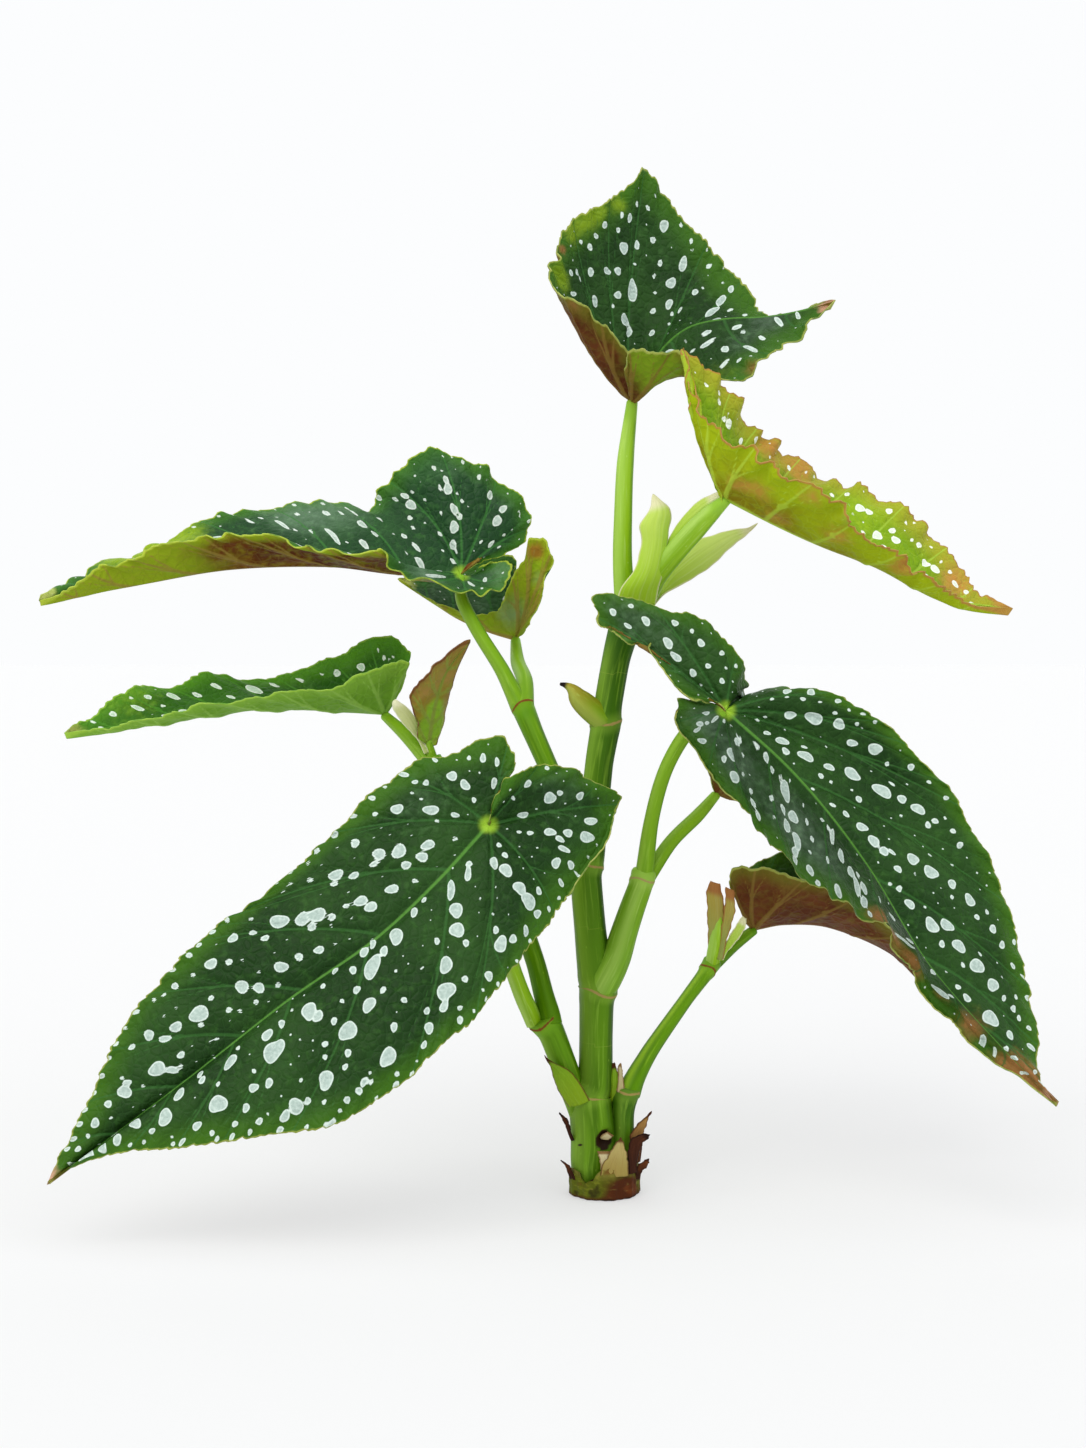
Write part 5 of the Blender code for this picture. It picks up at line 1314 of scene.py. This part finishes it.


# Stems. A route holds places with the radius there, from the foot up. A ring marks a node at a height,
# higher by its lift on the side at its angle. A tone, painted light where its amount is above nought and
# painted shade where it is below, has an angle, a width and an amount, and a scar an angle, a height, its
# width, height and depth; a scar's hollow is painted dark, its own brown with painted shade. Angles run from
# the front to the right.

stems = {
    "main_cane": {
        "skin": "mainCane", "slot": "cane", "ribs": 0.02,
        "route": [
            (-4.4, 0, 4.5, 6.9), (-4.3, 0, 12, 7.6), (-3.8, 0, 20, 8.1), (-4.4, 0, 28, 7.7),
            (-4.9, 0, 33.5, 7.7), (-4.8, 0, 36, 7.1), (-3.4, 0, 39.5, 6.2), (-2.9, 0, 46, 6.0),
            (-2.8, 0, 56, 5.9), (-2.6, 0, 69, 6.1), (-2, -0.4, 74.6, 7.3), (-3.2, 0, 78.6, 6.2),
            (-5, 0, 94, 5.6), (-6.6, 0, 113, 5.5), (-6, 0, 118, 5.8), (-5, 0, 124, 5.2), (-2, 0, 153, 4.9),
            (0, 0, 165, 5.2), (0.4, 0, 168, 5.6), (1, 0, 173, 4.9), (4, 0, 190, 4.9), (7, 0, 201, 5.6),
            (9.5, 0, 208, 7.0), (11, 0, 213, 6.2),
        ],
        "rings": [(35.8, 0.4, 60), (73.0, -1.6, 90), (117.5, 1.0, -60), (167.4, 1.4, 90), (201.5, 1.0, 0)],
        "tones": [(-50, 40, 0.55), (75, 35, -0.75)],
        "scars": [(31, 20.8, 3.5, 3.7, 2.4), (-35, 18.6, 0.9, 0.7, 0.2)],
    },
    "upper_left_cane": {
        "skin": "sideCane", "slot": "cane", "ribs": 0.02,
        "route": [
            (-6, 0, 114, 3.4), (-10, 9, 128, 3.5), (-15, 15, 140, 3.5), (-20, 20, 151, 3.5),
            (-25, 24, 162, 3.7), (-28, 27, 169, 4.1), (-29.4, 28.3, 172.4, 4.2),
        ],
        "rings": [(171.3, 0.6, 60)], "dome": 0.12, "tones": [(60, 40, -0.4)],
    },
    "lower_left_cane": {
        "skin": "sideCane", "slot": "cane", "ribs": 0.02,
        "route": [
            (-6, 0, 20, 4.4), (-8, 0, 29, 4.6), (-12, -1, 40, 4.6), (-15.5, -2.5, 50, 4.6),
            (-18.7, -3.6, 58.4, 4.7), (-21.2, -4.3, 62.2, 5.5), (-21.9, -4.5, 63.4, 5.4),
        ],
        "rings": [(62.4, 0.2, 60)], "dome": 0.12, "tones": [(-60, 40, 0.5), (70, 40, -0.4)],
    },
    "mid_left_cane": {
        "skin": "sideCane", "slot": "cane", "ribs": 0.02, "dome": 0.12,
        "route": [
            (-18.9, -5.3, 61.6, 4.0), (-19.6, -4.4, 65.4, 3.8), (-21.3, -2.4, 71, 3.6),
            (-24, 2.5, 81.1, 3.4), (-27, 5.6, 90, 3.4), (-32.4, 12, 107, 3.3), (-47, 20, 131, 3.2),
            (-57, 25, 145, 3.4), (-62, 27, 152, 3.9),
        ],
        "rings": [(148.0, 0.6, 0)], "tones": [(60, 40, -0.4)],
    },
    "right_cane": {
        "skin": "rightCane", "slot": "cane", "ribs": 0.02,
        "route": [
            (-1.8, 1.6, 67, 3.0), (-2.2, 0.2, 71, 4.4), (-0.6, -2.3, 75.4, 5.8), (2.5, -2.2, 81.4, 5.5),
            (4.6, -1.4, 86, 5.1), (6.9, -0.4, 93.3, 4.75), (9.6, 1.2, 101, 4.5), (13, 3.5, 110, 4.2),
            (14, 4, 114, 4.4),
        ],
        "rings": [(111.0, 0.6, 0)], "tones": [(-20, 35, 0.5), (80, 35, -0.6)],
    },
    "lower_right_stub": {
        "skin": "mainCane", "slot": "cane", "ribs": 0.03,
        "route": [
            (6.4, 0, 4.5, 4.2), (6.6, 0, 14, 4.0), (6.8, 0, 22, 3.8), (6.8, 0, 29, 3.9), (7.2, 0, 33, 4.4),
            (7.9, 0, 36, 5.0), (8.2, 0, 37.6, 4.6),
        ],
        "rings": [(36.2, 0.2, 0)], "dome": 0.2, "tones": [(-20, 30, 0.4), (70, 35, -0.5)],
    },
    "lower_right_cane": {
        "skin": "sideCane", "slot": "cane", "ribs": 0.02,
        "route": [
            (8.7, 0.1, 36, 4.2), (10.6, 1.4, 40.4, 3.7), (13.6, 4, 45.4, 3.2), (17.8, 7.6, 51.4, 2.9),
            (30, 19, 66, 2.5), (37, 25, 74, 2.8), (40, 28, 78, 3.5),
        ],
        "rings": [(75.5, 0.5, 0)], "tones": [(-40, 22, 0.9), (80, 40, -0.3)],
    },
    "front_petiole": {
        "skin": "limePetiole", "dome": 0.12,
        "route": [
            (-24.6, -5, 61.8, 3.1), (-26.6, -6, 66.8, 3.15), (-28.6, -8.2, 71.6, 3.0),
            (-31, -12, 78.8, 2.9), (-33.2, -16, 86.5, 2.8), (-35.6, -21.6, 98, 2.75), (-39, -29, 121, 2.6),
            (-40.6, -36, 131, 2.4), (-40.2, -41, 135.5, 1.8),
        ],
    },
    "upper_left_petiole": {
        "skin": "petiole",
        "route": [
            (-30, 28.4, 171.6, 3.7), (-32.8, 31.4, 177, 3.1), (-37, 36, 185, 2.7), (-46, 43, 199, 2.5),
            (-51.6, 47.6, 210, 2.4), (-52, 49.6, 218, 1.6),
        ],
    },
    "mid_left_petiole": {
        "skin": "petiole",
        "route": [(-62.4, 27.2, 151, 3.0), (-71, 33, 160.2, 2.6), (-79.6, 39.7, 167.4, 1.8)],
    },
    "right_petiole": {
        "skin": "petiole",
        "route": [
            (13.9, 3.4, 112, 3.3), (16.5, 0, 133, 2.6), (21, -6, 151, 2.5), (28, -12, 164.5, 2.5),
            (35.6, -22, 171.6, 2.4), (39.6, -33.6, 173.7, 1.7),
        ],
    },
    "top_petiole": {
        "skin": "limePetiole", "tones": [(-45, 60, 0.45), (68, 30, -0.8)],
        "route": [
            (7.2, 0, 207, 3.8), (6.2, 2, 224, 3.4), (6.5, 5, 240, 3.2), (7.4, 9, 259, 3.0),
            (9.8, 13.8, 280, 2.0),
        ],
    },
    "upper_right_petiole": {
        "skin": "limePetiole", "tones": [(-60, 40, 0.6), (70, 40, -0.5)],
        "route": [
            (11.5, -1, 206, 4.4), (17, -4.5, 218, 3.9), (23, -10, 226, 3.7), (31, -19, 235.5, 3.6),
            (36.5, -26.4, 241.5, 2.8), (40, -30.2, 244.8, 1.9),
        ],
    },
    "lower_right_petiole": {
        "skin": "sideCane",
        "route": [(40.4, 28.6, 77.6, 2.8), (48, 32.6, 83.6, 2.3), (55.6, 35.9, 88.7, 1.8)],
    },
    "folded_petiole": {
        "skin": "petiole",
        "route": [
            (-28.4, 27.6, 171.6, 3.5), (-28.4, 38, 180, 3.0), (-31, 56, 186, 2.7), (-32, 69.6, 193.6, 1.9),
        ],
    },
    "young_petiole": {"skin": "petiole", "route": [(-61.4, 27, 151, 2.2), (-63.3, 26.5, 158.6, 1.5)]},
    "back_petiole": {
        "skin": "petiole",
        "route": [(15, 5, 112, 2.9), (24, 12, 124, 2.5), (34, 18, 133, 2.4), (40.6, 23.6, 139.6, 1.8)],
    },
    "dried_bud": {
        "skin": "driedBud", "slot": "dry_sheath", "ribs": 0.05,
        "tones": [(-30, 50, 0.55), (80, 40, -0.3), (-120, 30, -0.6)],
        "route": [
            (-0.6, -1.6, 168.5, 4.3), (-3.1, -2.0, 170.8, 4.5), (-6.4, -2.4, 173.6, 4.2),
            (-9.4, -2.8, 176.6, 3.8), (-11.0, -3.0, 178.9, 2.4), (-12.6, -3.0, 180.3, 1.2),
            (-14.2, -3.0, 181.0, 0.85), (-15.6, -3.0, 181.3, 0.55),
        ],
    },
    "lower_right_bud": {
        "skin": "limePetiole", "slot": "stipule", "ribs": 0.04,
        "route": [
            (40, 27, 78, 2.6), (40.4, 25.2, 82, 2.7), (41.2, 24.2, 87, 2.6), (42, 23.8, 92.5, 2.1),
            (42.7, 23.6, 99, 0.7),
        ],
    },
}

stemMake = {
    "sides": 28, "pitch": 1.0, "ringHigh": 0.35, "ringWide": 0.8,
    "ribs": 0.025,          # height of the long ribs, of the radius
    "dome": 0.5,            # how far an end bulges, of the radius
    "tones": [(-45, 40, 0.5), (75, 40, -0.5)],      # a side painted paler as painted light, and one painted darker as painted shade
    "rings": [], "scars": [], "slot": "petiole",
}


def swingFrom(turn, angle):
    # how far round a stem each side lies from this angle
    return (turn - math.radians(angle) + math.pi) % (2 * math.pi) - math.pi


def makeStem(name, stem):
    stem = {**stemMake, **stem}
    places = [stop[:3] for stop in stem["route"]]
    count = int(lineLength(places) / stemMake["pitch"])
    shares = np.linspace(0, 1, count + 1)
    line = alongLine(places, shares)
    steps = np.linalg.norm(np.diff(np.array(places, float), axis=0), axis=1)
    stations = np.concatenate([[0], np.cumsum(steps)]) / steps.sum()
    radii = np.interp(shares, stations, [stop[3] for stop in stem["route"]])
    radii = smoothed(radii[:, None] * [1, 0, 0], 2)[:, 0]
    # rounded ends, as shrinking rings
    ends = np.array([1.0, 0.93, 0.75, 0.45])
    along = unit(np.gradient(line, axis=0))
    foot = [line[0] - along[0] * radii[0] * stem["dome"] * end for end in ends]
    head = [line[-1] + along[-1] * radii[-1] * stem["dome"] * end for end in ends[::-1]]
    shrink = np.sqrt(1 - ends ** 2)
    line = np.vstack([foot, line, head])
    radii = np.concatenate([radii[0] * shrink, radii, radii[-1] * shrink[::-1]])
    along = np.vstack([along[:1]] * 4 + [along] + [along[-1:]] * 4)
    # a frame carried along the line without twist, from the front
    aside = np.zeros_like(line)
    way = np.array((0.0, -1.0, 0.0))
    for number in range(len(line)):
        way = unit(way - along[number] * (way @ along[number]))
        aside[number] = way
    across = np.cross(along, aside)
    length = np.concatenate([[0], np.cumsum(np.linalg.norm(np.diff(line, axis=0), axis=1))])[:, None]
    turn = np.linspace(0, 2 * math.pi, stemMake["sides"] + 1)[None, :-1]
    ringAway = np.full((len(line), stemMake["sides"]), 60.0)
    for height, lift, angle in stem["rings"]:
        ringAt = length[int(np.argmin(np.abs(line[:, 2] - height)))]
        away = length - ringAt - lift * np.cos(turn - math.radians(angle)) - 0.35 * np.sin(3 * turn + height)
        ringAway = np.where(np.abs(away) < np.abs(ringAway), away, ringAway)
    radius = radii[:, None] * (1 + stem["ribs"] * np.cos(5 * turn + 0.04 * length)
                               + 0.6 * stem["ribs"] * np.cos(3 * turn - 0.03 * length + 1))
    radius = radius + stemMake["ringHigh"] * np.exp(-(ringAway / stemMake["ringWide"]) ** 2)
    scarAndShade = np.zeros_like(radius)
    # each scar is a hollow in the rind whose mask carries its dark colour: the scar's own brown with painted
    # shade in the hollow
    for angle, height, wide, high, deep in stem["scars"]:
        at = length[int(np.argmin(np.abs(line[:, 2] - height)))]
        spread = np.hypot(swingFrom(turn, angle) * radii[:, None] / wide, (length - at) / high)
        radius = radius - deep * (1 - softStep(spread, 0.4, 1.1))
        scarAndShade = np.maximum(scarAndShade, 1 - softStep(spread, 0.75, 1.1))
    # painted light and painted shade: each tone lightens or darkens the stem down one side, as light from
    # that side would
    tone = np.zeros_like(radius)
    for angle, wide, amount in stem["tones"]:
        tone = tone + amount * np.exp(-(swingFrom(turn, angle) / math.radians(wide)) ** 2)
    ring = aside[:, None] * np.cos(turn)[..., None] + across[:, None] * np.sin(turn)[..., None]
    points = line[:, None] + ring * radius[..., None]
    points[0, :], points[-1, :] = line[0], line[-1]
    maps = {
        "stemMap": (ringAway, length / length[-1], scarAndShade),
        "stemLitAndShaded": (tone, tone, tone),
        "stemPlace": (radius * np.cos(turn), radius * np.sin(turn), length),
    }
    piece = gridPiece(pieceTitle(name, "Rind"), points, maps, stemSkins[stem["skin"]], (0, -1), True)
    settle(piece, name)


for name, stem in stems.items():
    makeStem(name, stem)
print("stems made")


# Sheaths: thin sheets between a left and a right edge, from the foot to the tip, arched toward the front
# by their hollow. Each stands for the node of its name, or belongs to the piece beside it.

sheaths = {
    "top_stipule": {
        "skin": "greenStipule", "hollow": 2.2, "ragged": 0.2,
        "left": [
            (3.6, -6, 209.5), (5.3, -8, 214.9), (10.1, -9.6, 221.8), (12.3, -10.6, 230.8),
            (11.7, -11, 236.3), (15, -11, 241.8), (16.2, -10, 247.3),
        ],
        "right": [
            (17.5, -5, 209.5), (18.3, -7, 214.9), (19.5, -9, 219.4), (20.8, -10, 226.3),
            (21.6, -10.6, 233.9), (22.1, -10.5, 241.8), (16.2, -10, 247.3),
        ],
    },
    "back_stipule": {
        "skin": "backStipule", "hollow": 1.6, "ragged": 0.25,
        "left": [
            (16, 5, 209), (19.8, 5.6, 213.5), (22, 8, 221.6), (29.9, 11, 229.7), (41.5, 15, 234.1),
            (50.9, 17, 235.8), (54.8, 18, 237.5),
        ],
        "right": [
            (17, 2, 208), (20.5, 2.6, 212), (24.4, 5, 214.3), (35.5, 9, 220.6), (47.1, 14, 230.8),
            (52.3, 17, 234.7), (54.8, 18, 237.5),
        ],
    },
    "upperRightWing": {
        "skin": "greenStipule", "slot": "petiole", "hollow": 0.8, "ragged": 0.1,
        "left": [
            (17, -5.5, 221), (19.5, -7, 226), (22.3, -9.5, 232.8), (26.6, -13, 239.4), (31.7, -19, 244.8),
            (38.4, -27, 248),
        ],
        "right": [
            (20, -7.4, 221), (22.6, -9, 224.5), (24.8, -11.5, 229.7), (29.1, -16, 235.6), (34.2, -22, 241),
            (39.1, -28, 245.7),
        ],
    },
    "young_stipule": {
        "skin": "paleStipule", "hollow": 1.2, "ragged": 0.15,
        "left": [
            (-64.6, 25.4, 154.5), (-66.8, 25, 159.5), (-69.4, 24, 162.6), (-72.1, 23.4, 165.7),
            (-74.8, 23, 169.6), (-75.9, 22.6, 172.9), (-74.8, 22.6, 174.4),
        ],
        "right": [
            (-62.8, 25.4, 155), (-65.6, 25, 161), (-66.6, 24, 165.6), (-68.2, 23.4, 168.4),
            (-69.9, 23, 170.7), (-72.4, 22.6, 172.7), (-74.8, 22.6, 174.4),
        ],
    },
    "lowerRightSheathA": {
        "skin": "budSheath", "hollow": 1.0, "ragged": 0.3,
        "left": [
            (38.4, 26.4, 79), (38.4, 25.4, 84), (37.9, 24, 95.2), (37.6, 23.4, 105.2), (38.9, 23, 108.6),
        ],
        "right": [
            (41.2, 25.2, 79), (42, 24, 84), (43.2, 23, 92.3), (43.8, 22.6, 98.7), (42.4, 22.8, 107.6),
        ],
    },
    "lowerRightSheathB": {
        "skin": "budSheath", "hollow": 0.8, "ragged": 0.3,
        "left": [(41, 24, 80), (42.4, 22.4, 87), (43, 22, 92.7), (44, 21, 100.1), (44.3, 20.5, 106.7)],
        "right": [(43.6, 24, 80), (44.6, 22.6, 87), (46.3, 22, 92.7), (47.6, 21, 98.3), (47, 20.6, 105.6)],
    },
    "lower_right_flap": {
        "skin": "greenStipule", "hollow": 0.5, "ragged": 0.2,
        "left": [(42, 24.6, 79.5), (43.4, 24, 84), (45.3, 23.4, 87.6), (48.1, 22.6, 92.5), (50.4, 22, 96)],
        "right": [
            (43.6, 24.6, 79.5), (45.2, 24, 82.6), (47.2, 23.4, 85.1), (51, 22.6, 90.7), (52, 22, 94.9),
        ],
    },
    "left_bract": {
        "skin": "oliveBract", "hollow": 1.3, "ragged": 0.15,
        "left": [
            (-12.6, -6.6, 32.6), (-14.7, -7.4, 35.8), (-16.8, -8, 39.8), (-18.2, -8.4, 44.2),
            (-19.2, -8.6, 47.7), (-20.6, -8.6, 49.9), (-21.2, -8.6, 51.3),
        ],
        "right": [
            (-5.3, -7.6, 35), (-7.3, -8.6, 38.9), (-9.4, -9, 42.2), (-11.5, -9.2, 45), (-14.7, -9.2, 47.2),
            (-18.9, -9, 49.2), (-21.2, -8.6, 51.3),
        ],
    },
    "crown_flap": {
        "skin": "beigeFlap", "hollow": 0.9, "ragged": 0.4,
        "left": [
            (-1.6, -11.2, 8.6), (-1.2, -11.2, 11.7), (-0.4, -11, 13.6), (1.1, -10.8, 15.6),
            (2.9, -10, 18.9), (5.7, -8.6, 22.1),
        ],
        "right": [
            (8.4, -10, 8.6), (8.2, -10, 11.4), (8.1, -9.8, 13.6), (7.8, -9.6, 15.8), (7.1, -9.2, 18.6),
            (5.7, -8.6, 22.1),
        ],
    },
    "crown_scale_1": {
        "skin": "redScale", "hollow": 0.6, "ragged": 0.4,
        "left": [
            (8.4, -9.2, 9), (8.3, -8.6, 14), (8.3, -8, 17.8), (9.6, -7.4, 21.2), (13, -6.8, 22.7),
            (16, -6.6, 22.6),
        ],
        "right": [
            (11.4, -5.8, 9), (11.3, -5.6, 12.5), (12.2, -5.6, 16), (13.5, -6, 19.4), (15, -6.4, 20.8),
            (16, -6.6, 22.6),
        ],
    },
    "crown_scale_2": {
        "skin": "tanScale", "hollow": 0.8, "ragged": 0.4,
        "left": [(9.2, -5.4, 12), (9, -4.8, 20.8), (10.4, -3.4, 23.8), (13.4, -2, 26.6), (16.8, -1, 29.7)],
        "right": [(12.6, -2.6, 12), (13.6, -2.4, 20), (14, -2, 22.4), (15.2, -1.4, 26.2), (16.8, -1, 29.7)],
    },
    "crown_scale_3": {
        "skin": "brownScale", "hollow": 0.7, "ragged": 0.4,
        "left": [(10.8, -6.2, 6.6), (11.2, -5.6, 10.4), (12.8, -4.8, 12), (15.8, -4, 13.4)],
        "right": [(12.2, -3, 5.8), (13.1, -3.6, 8.6), (15.2, -4, 10.9), (15.8, -4, 13.4)],
    },
    "crown_scale_4": {
        "skin": "redScale", "hollow": 0.6, "ragged": 0.3,
        "left": [(-11.6, -2.6, 20), (-12.6, -3.2, 22.6), (-14, -4.2, 26), (-16, -5, 30.1)],
        "right": [(-10.6, -4.4, 20), (-11.7, -4.9, 23), (-12.8, -5.1, 27.2), (-16, -5, 30.1)],
    },
    "crown_scale_5": {
        "skin": "brownScale", "hollow": 0.7, "ragged": 0.3,
        "left": [(-11.9, -2.2, 6.4), (-12.9, -3, 9), (-13.8, -3.8, 11), (-15.5, -4, 12.8)],
        "right": [(-10.2, -6.6, 6.2), (-11.2, -6.2, 8.6), (-12.4, -5.2, 11.2), (-15.5, -4, 12.8)],
    },
    "budHoleScale": {
        "skin": "creamScale", "hollow": 0.2, "ragged": 0.2,
        "left": [(-1.6, -6, 21.5), (-0.8, -6.4, 22.4), (1.2, -6.6, 23.5)],
        "right": [(-1.2, -5.8, 20.8), (1.2, -6.2, 20.6), (3.2, -5.6, 22)],
    },
    "budHoleLip": {
        "skin": "creamScale", "hollow": 0.5, "ragged": 0.3,
        "left": [(-1.4, -10.8, 10), (-1.5, -10.2, 13), (-2, -9.4, 15.4), (-2.6, -8.8, 17.1)],
        "right": [(2.6, -10.6, 10), (2.4, -10.2, 13), (2.2, -9.8, 15), (1.6, -9.2, 17.2)],
    },
    "pinkScale": {
        "skin": "creamScale", "hollow": 0.3, "ragged": 0.2,
        "left": [(4.4, -3.4, 37), (4.9, -3.2, 43), (4.8, -3, 46), (5.8, -3, 47.4)],
        "right": [(7.2, -3.4, 37), (6.6, -3.2, 42), (6.4, -3.2, 44), (5.8, -3, 47.4)],
    },
    "shootSheath": {
        "skin": "oliveBract", "hollow": 0.9, "ragged": 0.2,
        "left": [(1.6, 0.6, 33), (2, -1.6, 41), (2.8, -1.6, 47)],
        "right": [(6.4, -1, 33), (5.4, -2, 41), (3.6, -1.4, 47.2)],
    },
}

sheathMake = {
    "pitch": 0.5, "across": 14, "thick": 0.4,
    "point": 0.3,           # a tip narrower than this ends in one point
}


def makeSheath(name, sheath):
    rows = max(8, int(lineLength(sheath["left"]) / sheathMake["pitch"]))
    along = np.linspace(0, 1, rows + 1)
    across = np.linspace(0, 1, sheathMake["across"] + 1)[None, :]
    left, right = alongLine(sheath["left"], along), alongLine(sheath["right"], along)
    wide = np.linalg.norm(right - left, axis=1)[:, None]
    draw = random.Random("sheath " + name)
    turns = [draw.uniform(0, 6.28) for number in range(4)]
    ragged = sheath["ragged"] * (np.sin(along * 23 + turns[0]) + 0.7 * np.sin(along * 51 + turns[1])) / 2
    ragged = (ragged * softStep(along, 0.15, 0.4))[:, None] * (2 * across - 1) ** 3
    aside = unit(right - left)[:, None]
    up = unit(np.gradient((left + right) / 2, axis=0))[:, None]
    front = unit(np.cross(aside, up))
    arch = sheath["hollow"] * (1 - (2 * across - 1) ** 2) * np.minimum(1, wide / wide.max() * 1.4)
    crease = 0.12 * np.sin(across * 26 + 2 * np.sin(along[:, None] * 4 + turns[2])) * np.minimum(1, wide / 3)
    places = left[:, None] * (1 - across[..., None]) + right[:, None] * across[..., None]
    places = places + front * (arch + crease)[..., None] + aside * ragged[..., None]
    fromTip = (1 - along[:, None]) * lineLength(sheath["left"])
    edge = np.minimum(np.minimum(across, 1 - across) * wide, fromTip)
    skin = sheath["skin"]
    ownNode = "_" in name       # the others belong to the piece beside them
    title = pieceTitle(name, "Sheet") if ownNode else name
    piece = gridPiece(title, places, {"sheathMap": (along[:, None], across, edge)}, sheathSkins[skin],
                      (-1,) if wide[-1] < sheathMake["point"] else ())
    thicken(piece, sheathMake["thick"], 0.0)
    settle(piece, name if ownNode else None)


for name, sheath in sheaths.items():
    makeSheath(name, sheath)
print("sheaths made")


# The crown: a cup of old sheaths round the feet of the canes, cut flat below

crown = {
    "foot": 11.8, "wide": 12.3, "wall": 1.1, "floorLevel": 6.0, "mound": 9.5, "sides": 120,
    # the top of the cup by the angle round it, from the right through the back
    "rim": [
        (0, 11.6), (40, 10), (90, 10.5), (135, 9), (180, 8.6), (205, 9.6), (222, 8), (235, 5.8), (250, 7.4),
        (263, 10.2), (273, 11.2), (315, 11.2), (337, 12), (360, 11.6),
    ],
}


def makeCrown():
    turn = np.linspace(0, 2 * math.pi, crown["sides"] + 1)[:-1]
    angles = np.degrees(turn)
    rim = np.interp(angles, *np.array(crown["rim"], float).T)
    rim = rim + 0.35 * np.sin(7 * turn + 1) + 0.3 * np.sin(17 * turn) + 0.22 * np.sin(31 * turn + 2)
    plait = 0.3 * np.sin(9 * turn + 1.5) + 0.2 * np.sin(23 * turn)
    # each row: distance from the middle, height, share of the rim's height, and how far inside, where painted
    # shade darkens the cup
    rows = [(reach, 0, 0, 0) for reach in (0, 4, 8, crown["foot"] - 0.4)] + [(crown["foot"], 0.25, 0, 0)]
    rows += [(crown["wide"] + 0.35 * math.sin(share * 5), 0.7, share, 0) for share in np.linspace(0, 1, 16)]
    rows += [(crown["wide"] - 0.3, 0.95, 1, 0.2), (crown["wide"] - 0.8, 0.9, 1, 0.5)]
    rows += [(crown["wide"] - crown["wall"], 0.6, share, 1) for share in np.linspace(1, 0.5, 8)]
    rows += [(9, crown["floorLevel"], 0, 1), (6, crown["floorLevel"] + 2, 0, 1)]
    rows += [(3, crown["mound"] - 0.6, 0, 1), (0, crown["mound"], 0, 1)]
    points, height, inside = [], [], []
    for reach, level, share, within in rows:
        radius = reach + plait * min(1, reach / 8) + 0.25 * math.sin(level * 3 + share * 9) * (reach > 11.5)
        top = level + share * (rim - 0.7)
        points.append(np.stack([radius * np.cos(turn), radius * np.sin(turn), np.maximum(top, 0)], axis=1))
        height.append(top)
        inside.append(np.full(len(turn), float(within)))
    points = np.array(points)
    points[:4, :, 2] = 0
    points[0, :], points[-1, :] = (0, 0, 0), (0, 0, crown["mound"])
    # the foot of the front right and the back are dead and brown, the front left is still olive
    height = np.array(height)
    dead = 0.2 + 0.8 * np.exp(-((angles - 304) / 34) ** 2) * (1 - softStep(height, 5.5, 10))
    dead = dead + 0.4 * np.exp(-((angles - 90) / 60) ** 2)
    maps = {"crownMap": (height, dead, np.array(inside))}
    piece = gridPiece("CrownCup", points, maps, crownBark, (0, -1), True)
    settle(piece, "crown")


makeCrown()
print("crown made")


# Camera, floor and light

def makeCamera():
    data = bpy.data.cameras.new("camera")
    data.lens = camera["lens"]
    data.sensor_width = 36
    data.clip_start, data.clip_end = 0.05, 20
    made = bpy.data.objects.new("camera", data)
    made.location = Vector(camera["place"]) * mm
    made.rotation_euler = (math.radians(90 - camera["lookDown"]), 0, 0)
    bpy.context.scene.collection.objects.link(made)
    bpy.context.scene.camera = made


stage = {
    "floorSize": 8000, "floorColour": "#a3a4a5", "floorGlow": 0.48,
    "seenColour": "#fcfdfe",        # the plain white backdrop that the camera sees
    # the light of the room by direction: behind the camera, behind the plant and overhead
    "room": "#b4b6b8", "backdrop": "#fafbfd", "ceiling": "#ffffff", "strength": 1.0,
    # name: direction it shines from, strength, width in degrees, colour
    "suns": {
        "softKey": ((-0.5, -0.9, 1.05), 1.5, 50, "#fffdf8"),
        "softFill": ((0.8, -0.5, 0.7), 0.5, 60, "#f8fbff"),
    },
}


def makeStage():
    half = stage["floorSize"] / 2 * mm
    mesh = bpy.data.meshes.new("floor")
    corners = [(-half, -half, 0), (half, -half, 0), (half, half, 0), (-half, half, 0)]
    mesh.from_pydata(corners, [], [(0, 1, 2, 3)])
    floor = bpy.data.objects.new("floor", mesh)
    bpy.context.scene.collection.objects.link(floor)
    # an opal acrylic light table: matt, nearly white and faintly lit from below, so shadows stay pale
    made, tree, shader = newMaterial("opalAcrylic")
    setInputs(tree, shader, {
        "Base Color": linear(stage["floorColour"]), "Roughness": 0.9, "Specular IOR Level": 0.1,
        "Emission Color": linear("#ffffff"), "Emission Strength": stage["floorGlow"],
    })
    mesh.materials.append(made)
    world = bpy.data.worlds.new("studio")
    bpy.context.scene.world = world
    world.use_nodes = True
    tree = world.node_tree
    direction = addNode(tree, "TexCoord", {}, "Generated")
    back, up = [addNode(tree, "SeparateXYZ", {0: direction}, axis) for axis in (1, 2)]
    colour = paint(tree, linear(stage["room"]), [(back, -0.6, 0.5, 0.0, 1.0, stage["backdrop"]),
                                                 (up, 0.3, 0.9, 0.0, 1.0, stage["ceiling"])])
    light = addNode(tree, "Background", {"Color": colour, "Strength": stage["strength"]})
    seen = addNode(tree, "Background", {"Color": linear(stage["seenColour"])})
    ray = addNode(tree, "LightPath", {}, "Is Camera Ray")
    mixed = addNode(tree, "MixShader", {0: ray, 1: light, 2: seen})
    tree.links.new(mixed, tree.nodes["World Output"].inputs["Surface"])
    for title, (source, strength, width, colour) in stage["suns"].items():
        data = bpy.data.lights.new(title, "SUN")
        data.energy = strength
        data.angle = math.radians(width)
        data.color = linear(colour)[:3]
        lamp = bpy.data.objects.new(title, data)
        lamp.location = Vector(source)
        lamp.rotation_euler = (-Vector(source)).to_track_quat("-Z", "Y").to_euler()
        bpy.context.scene.collection.objects.link(lamp)


makeCamera()
makeStage()
bpy.context.scene.view_settings.view_transform = "Standard"
print("camera, floor and light set")
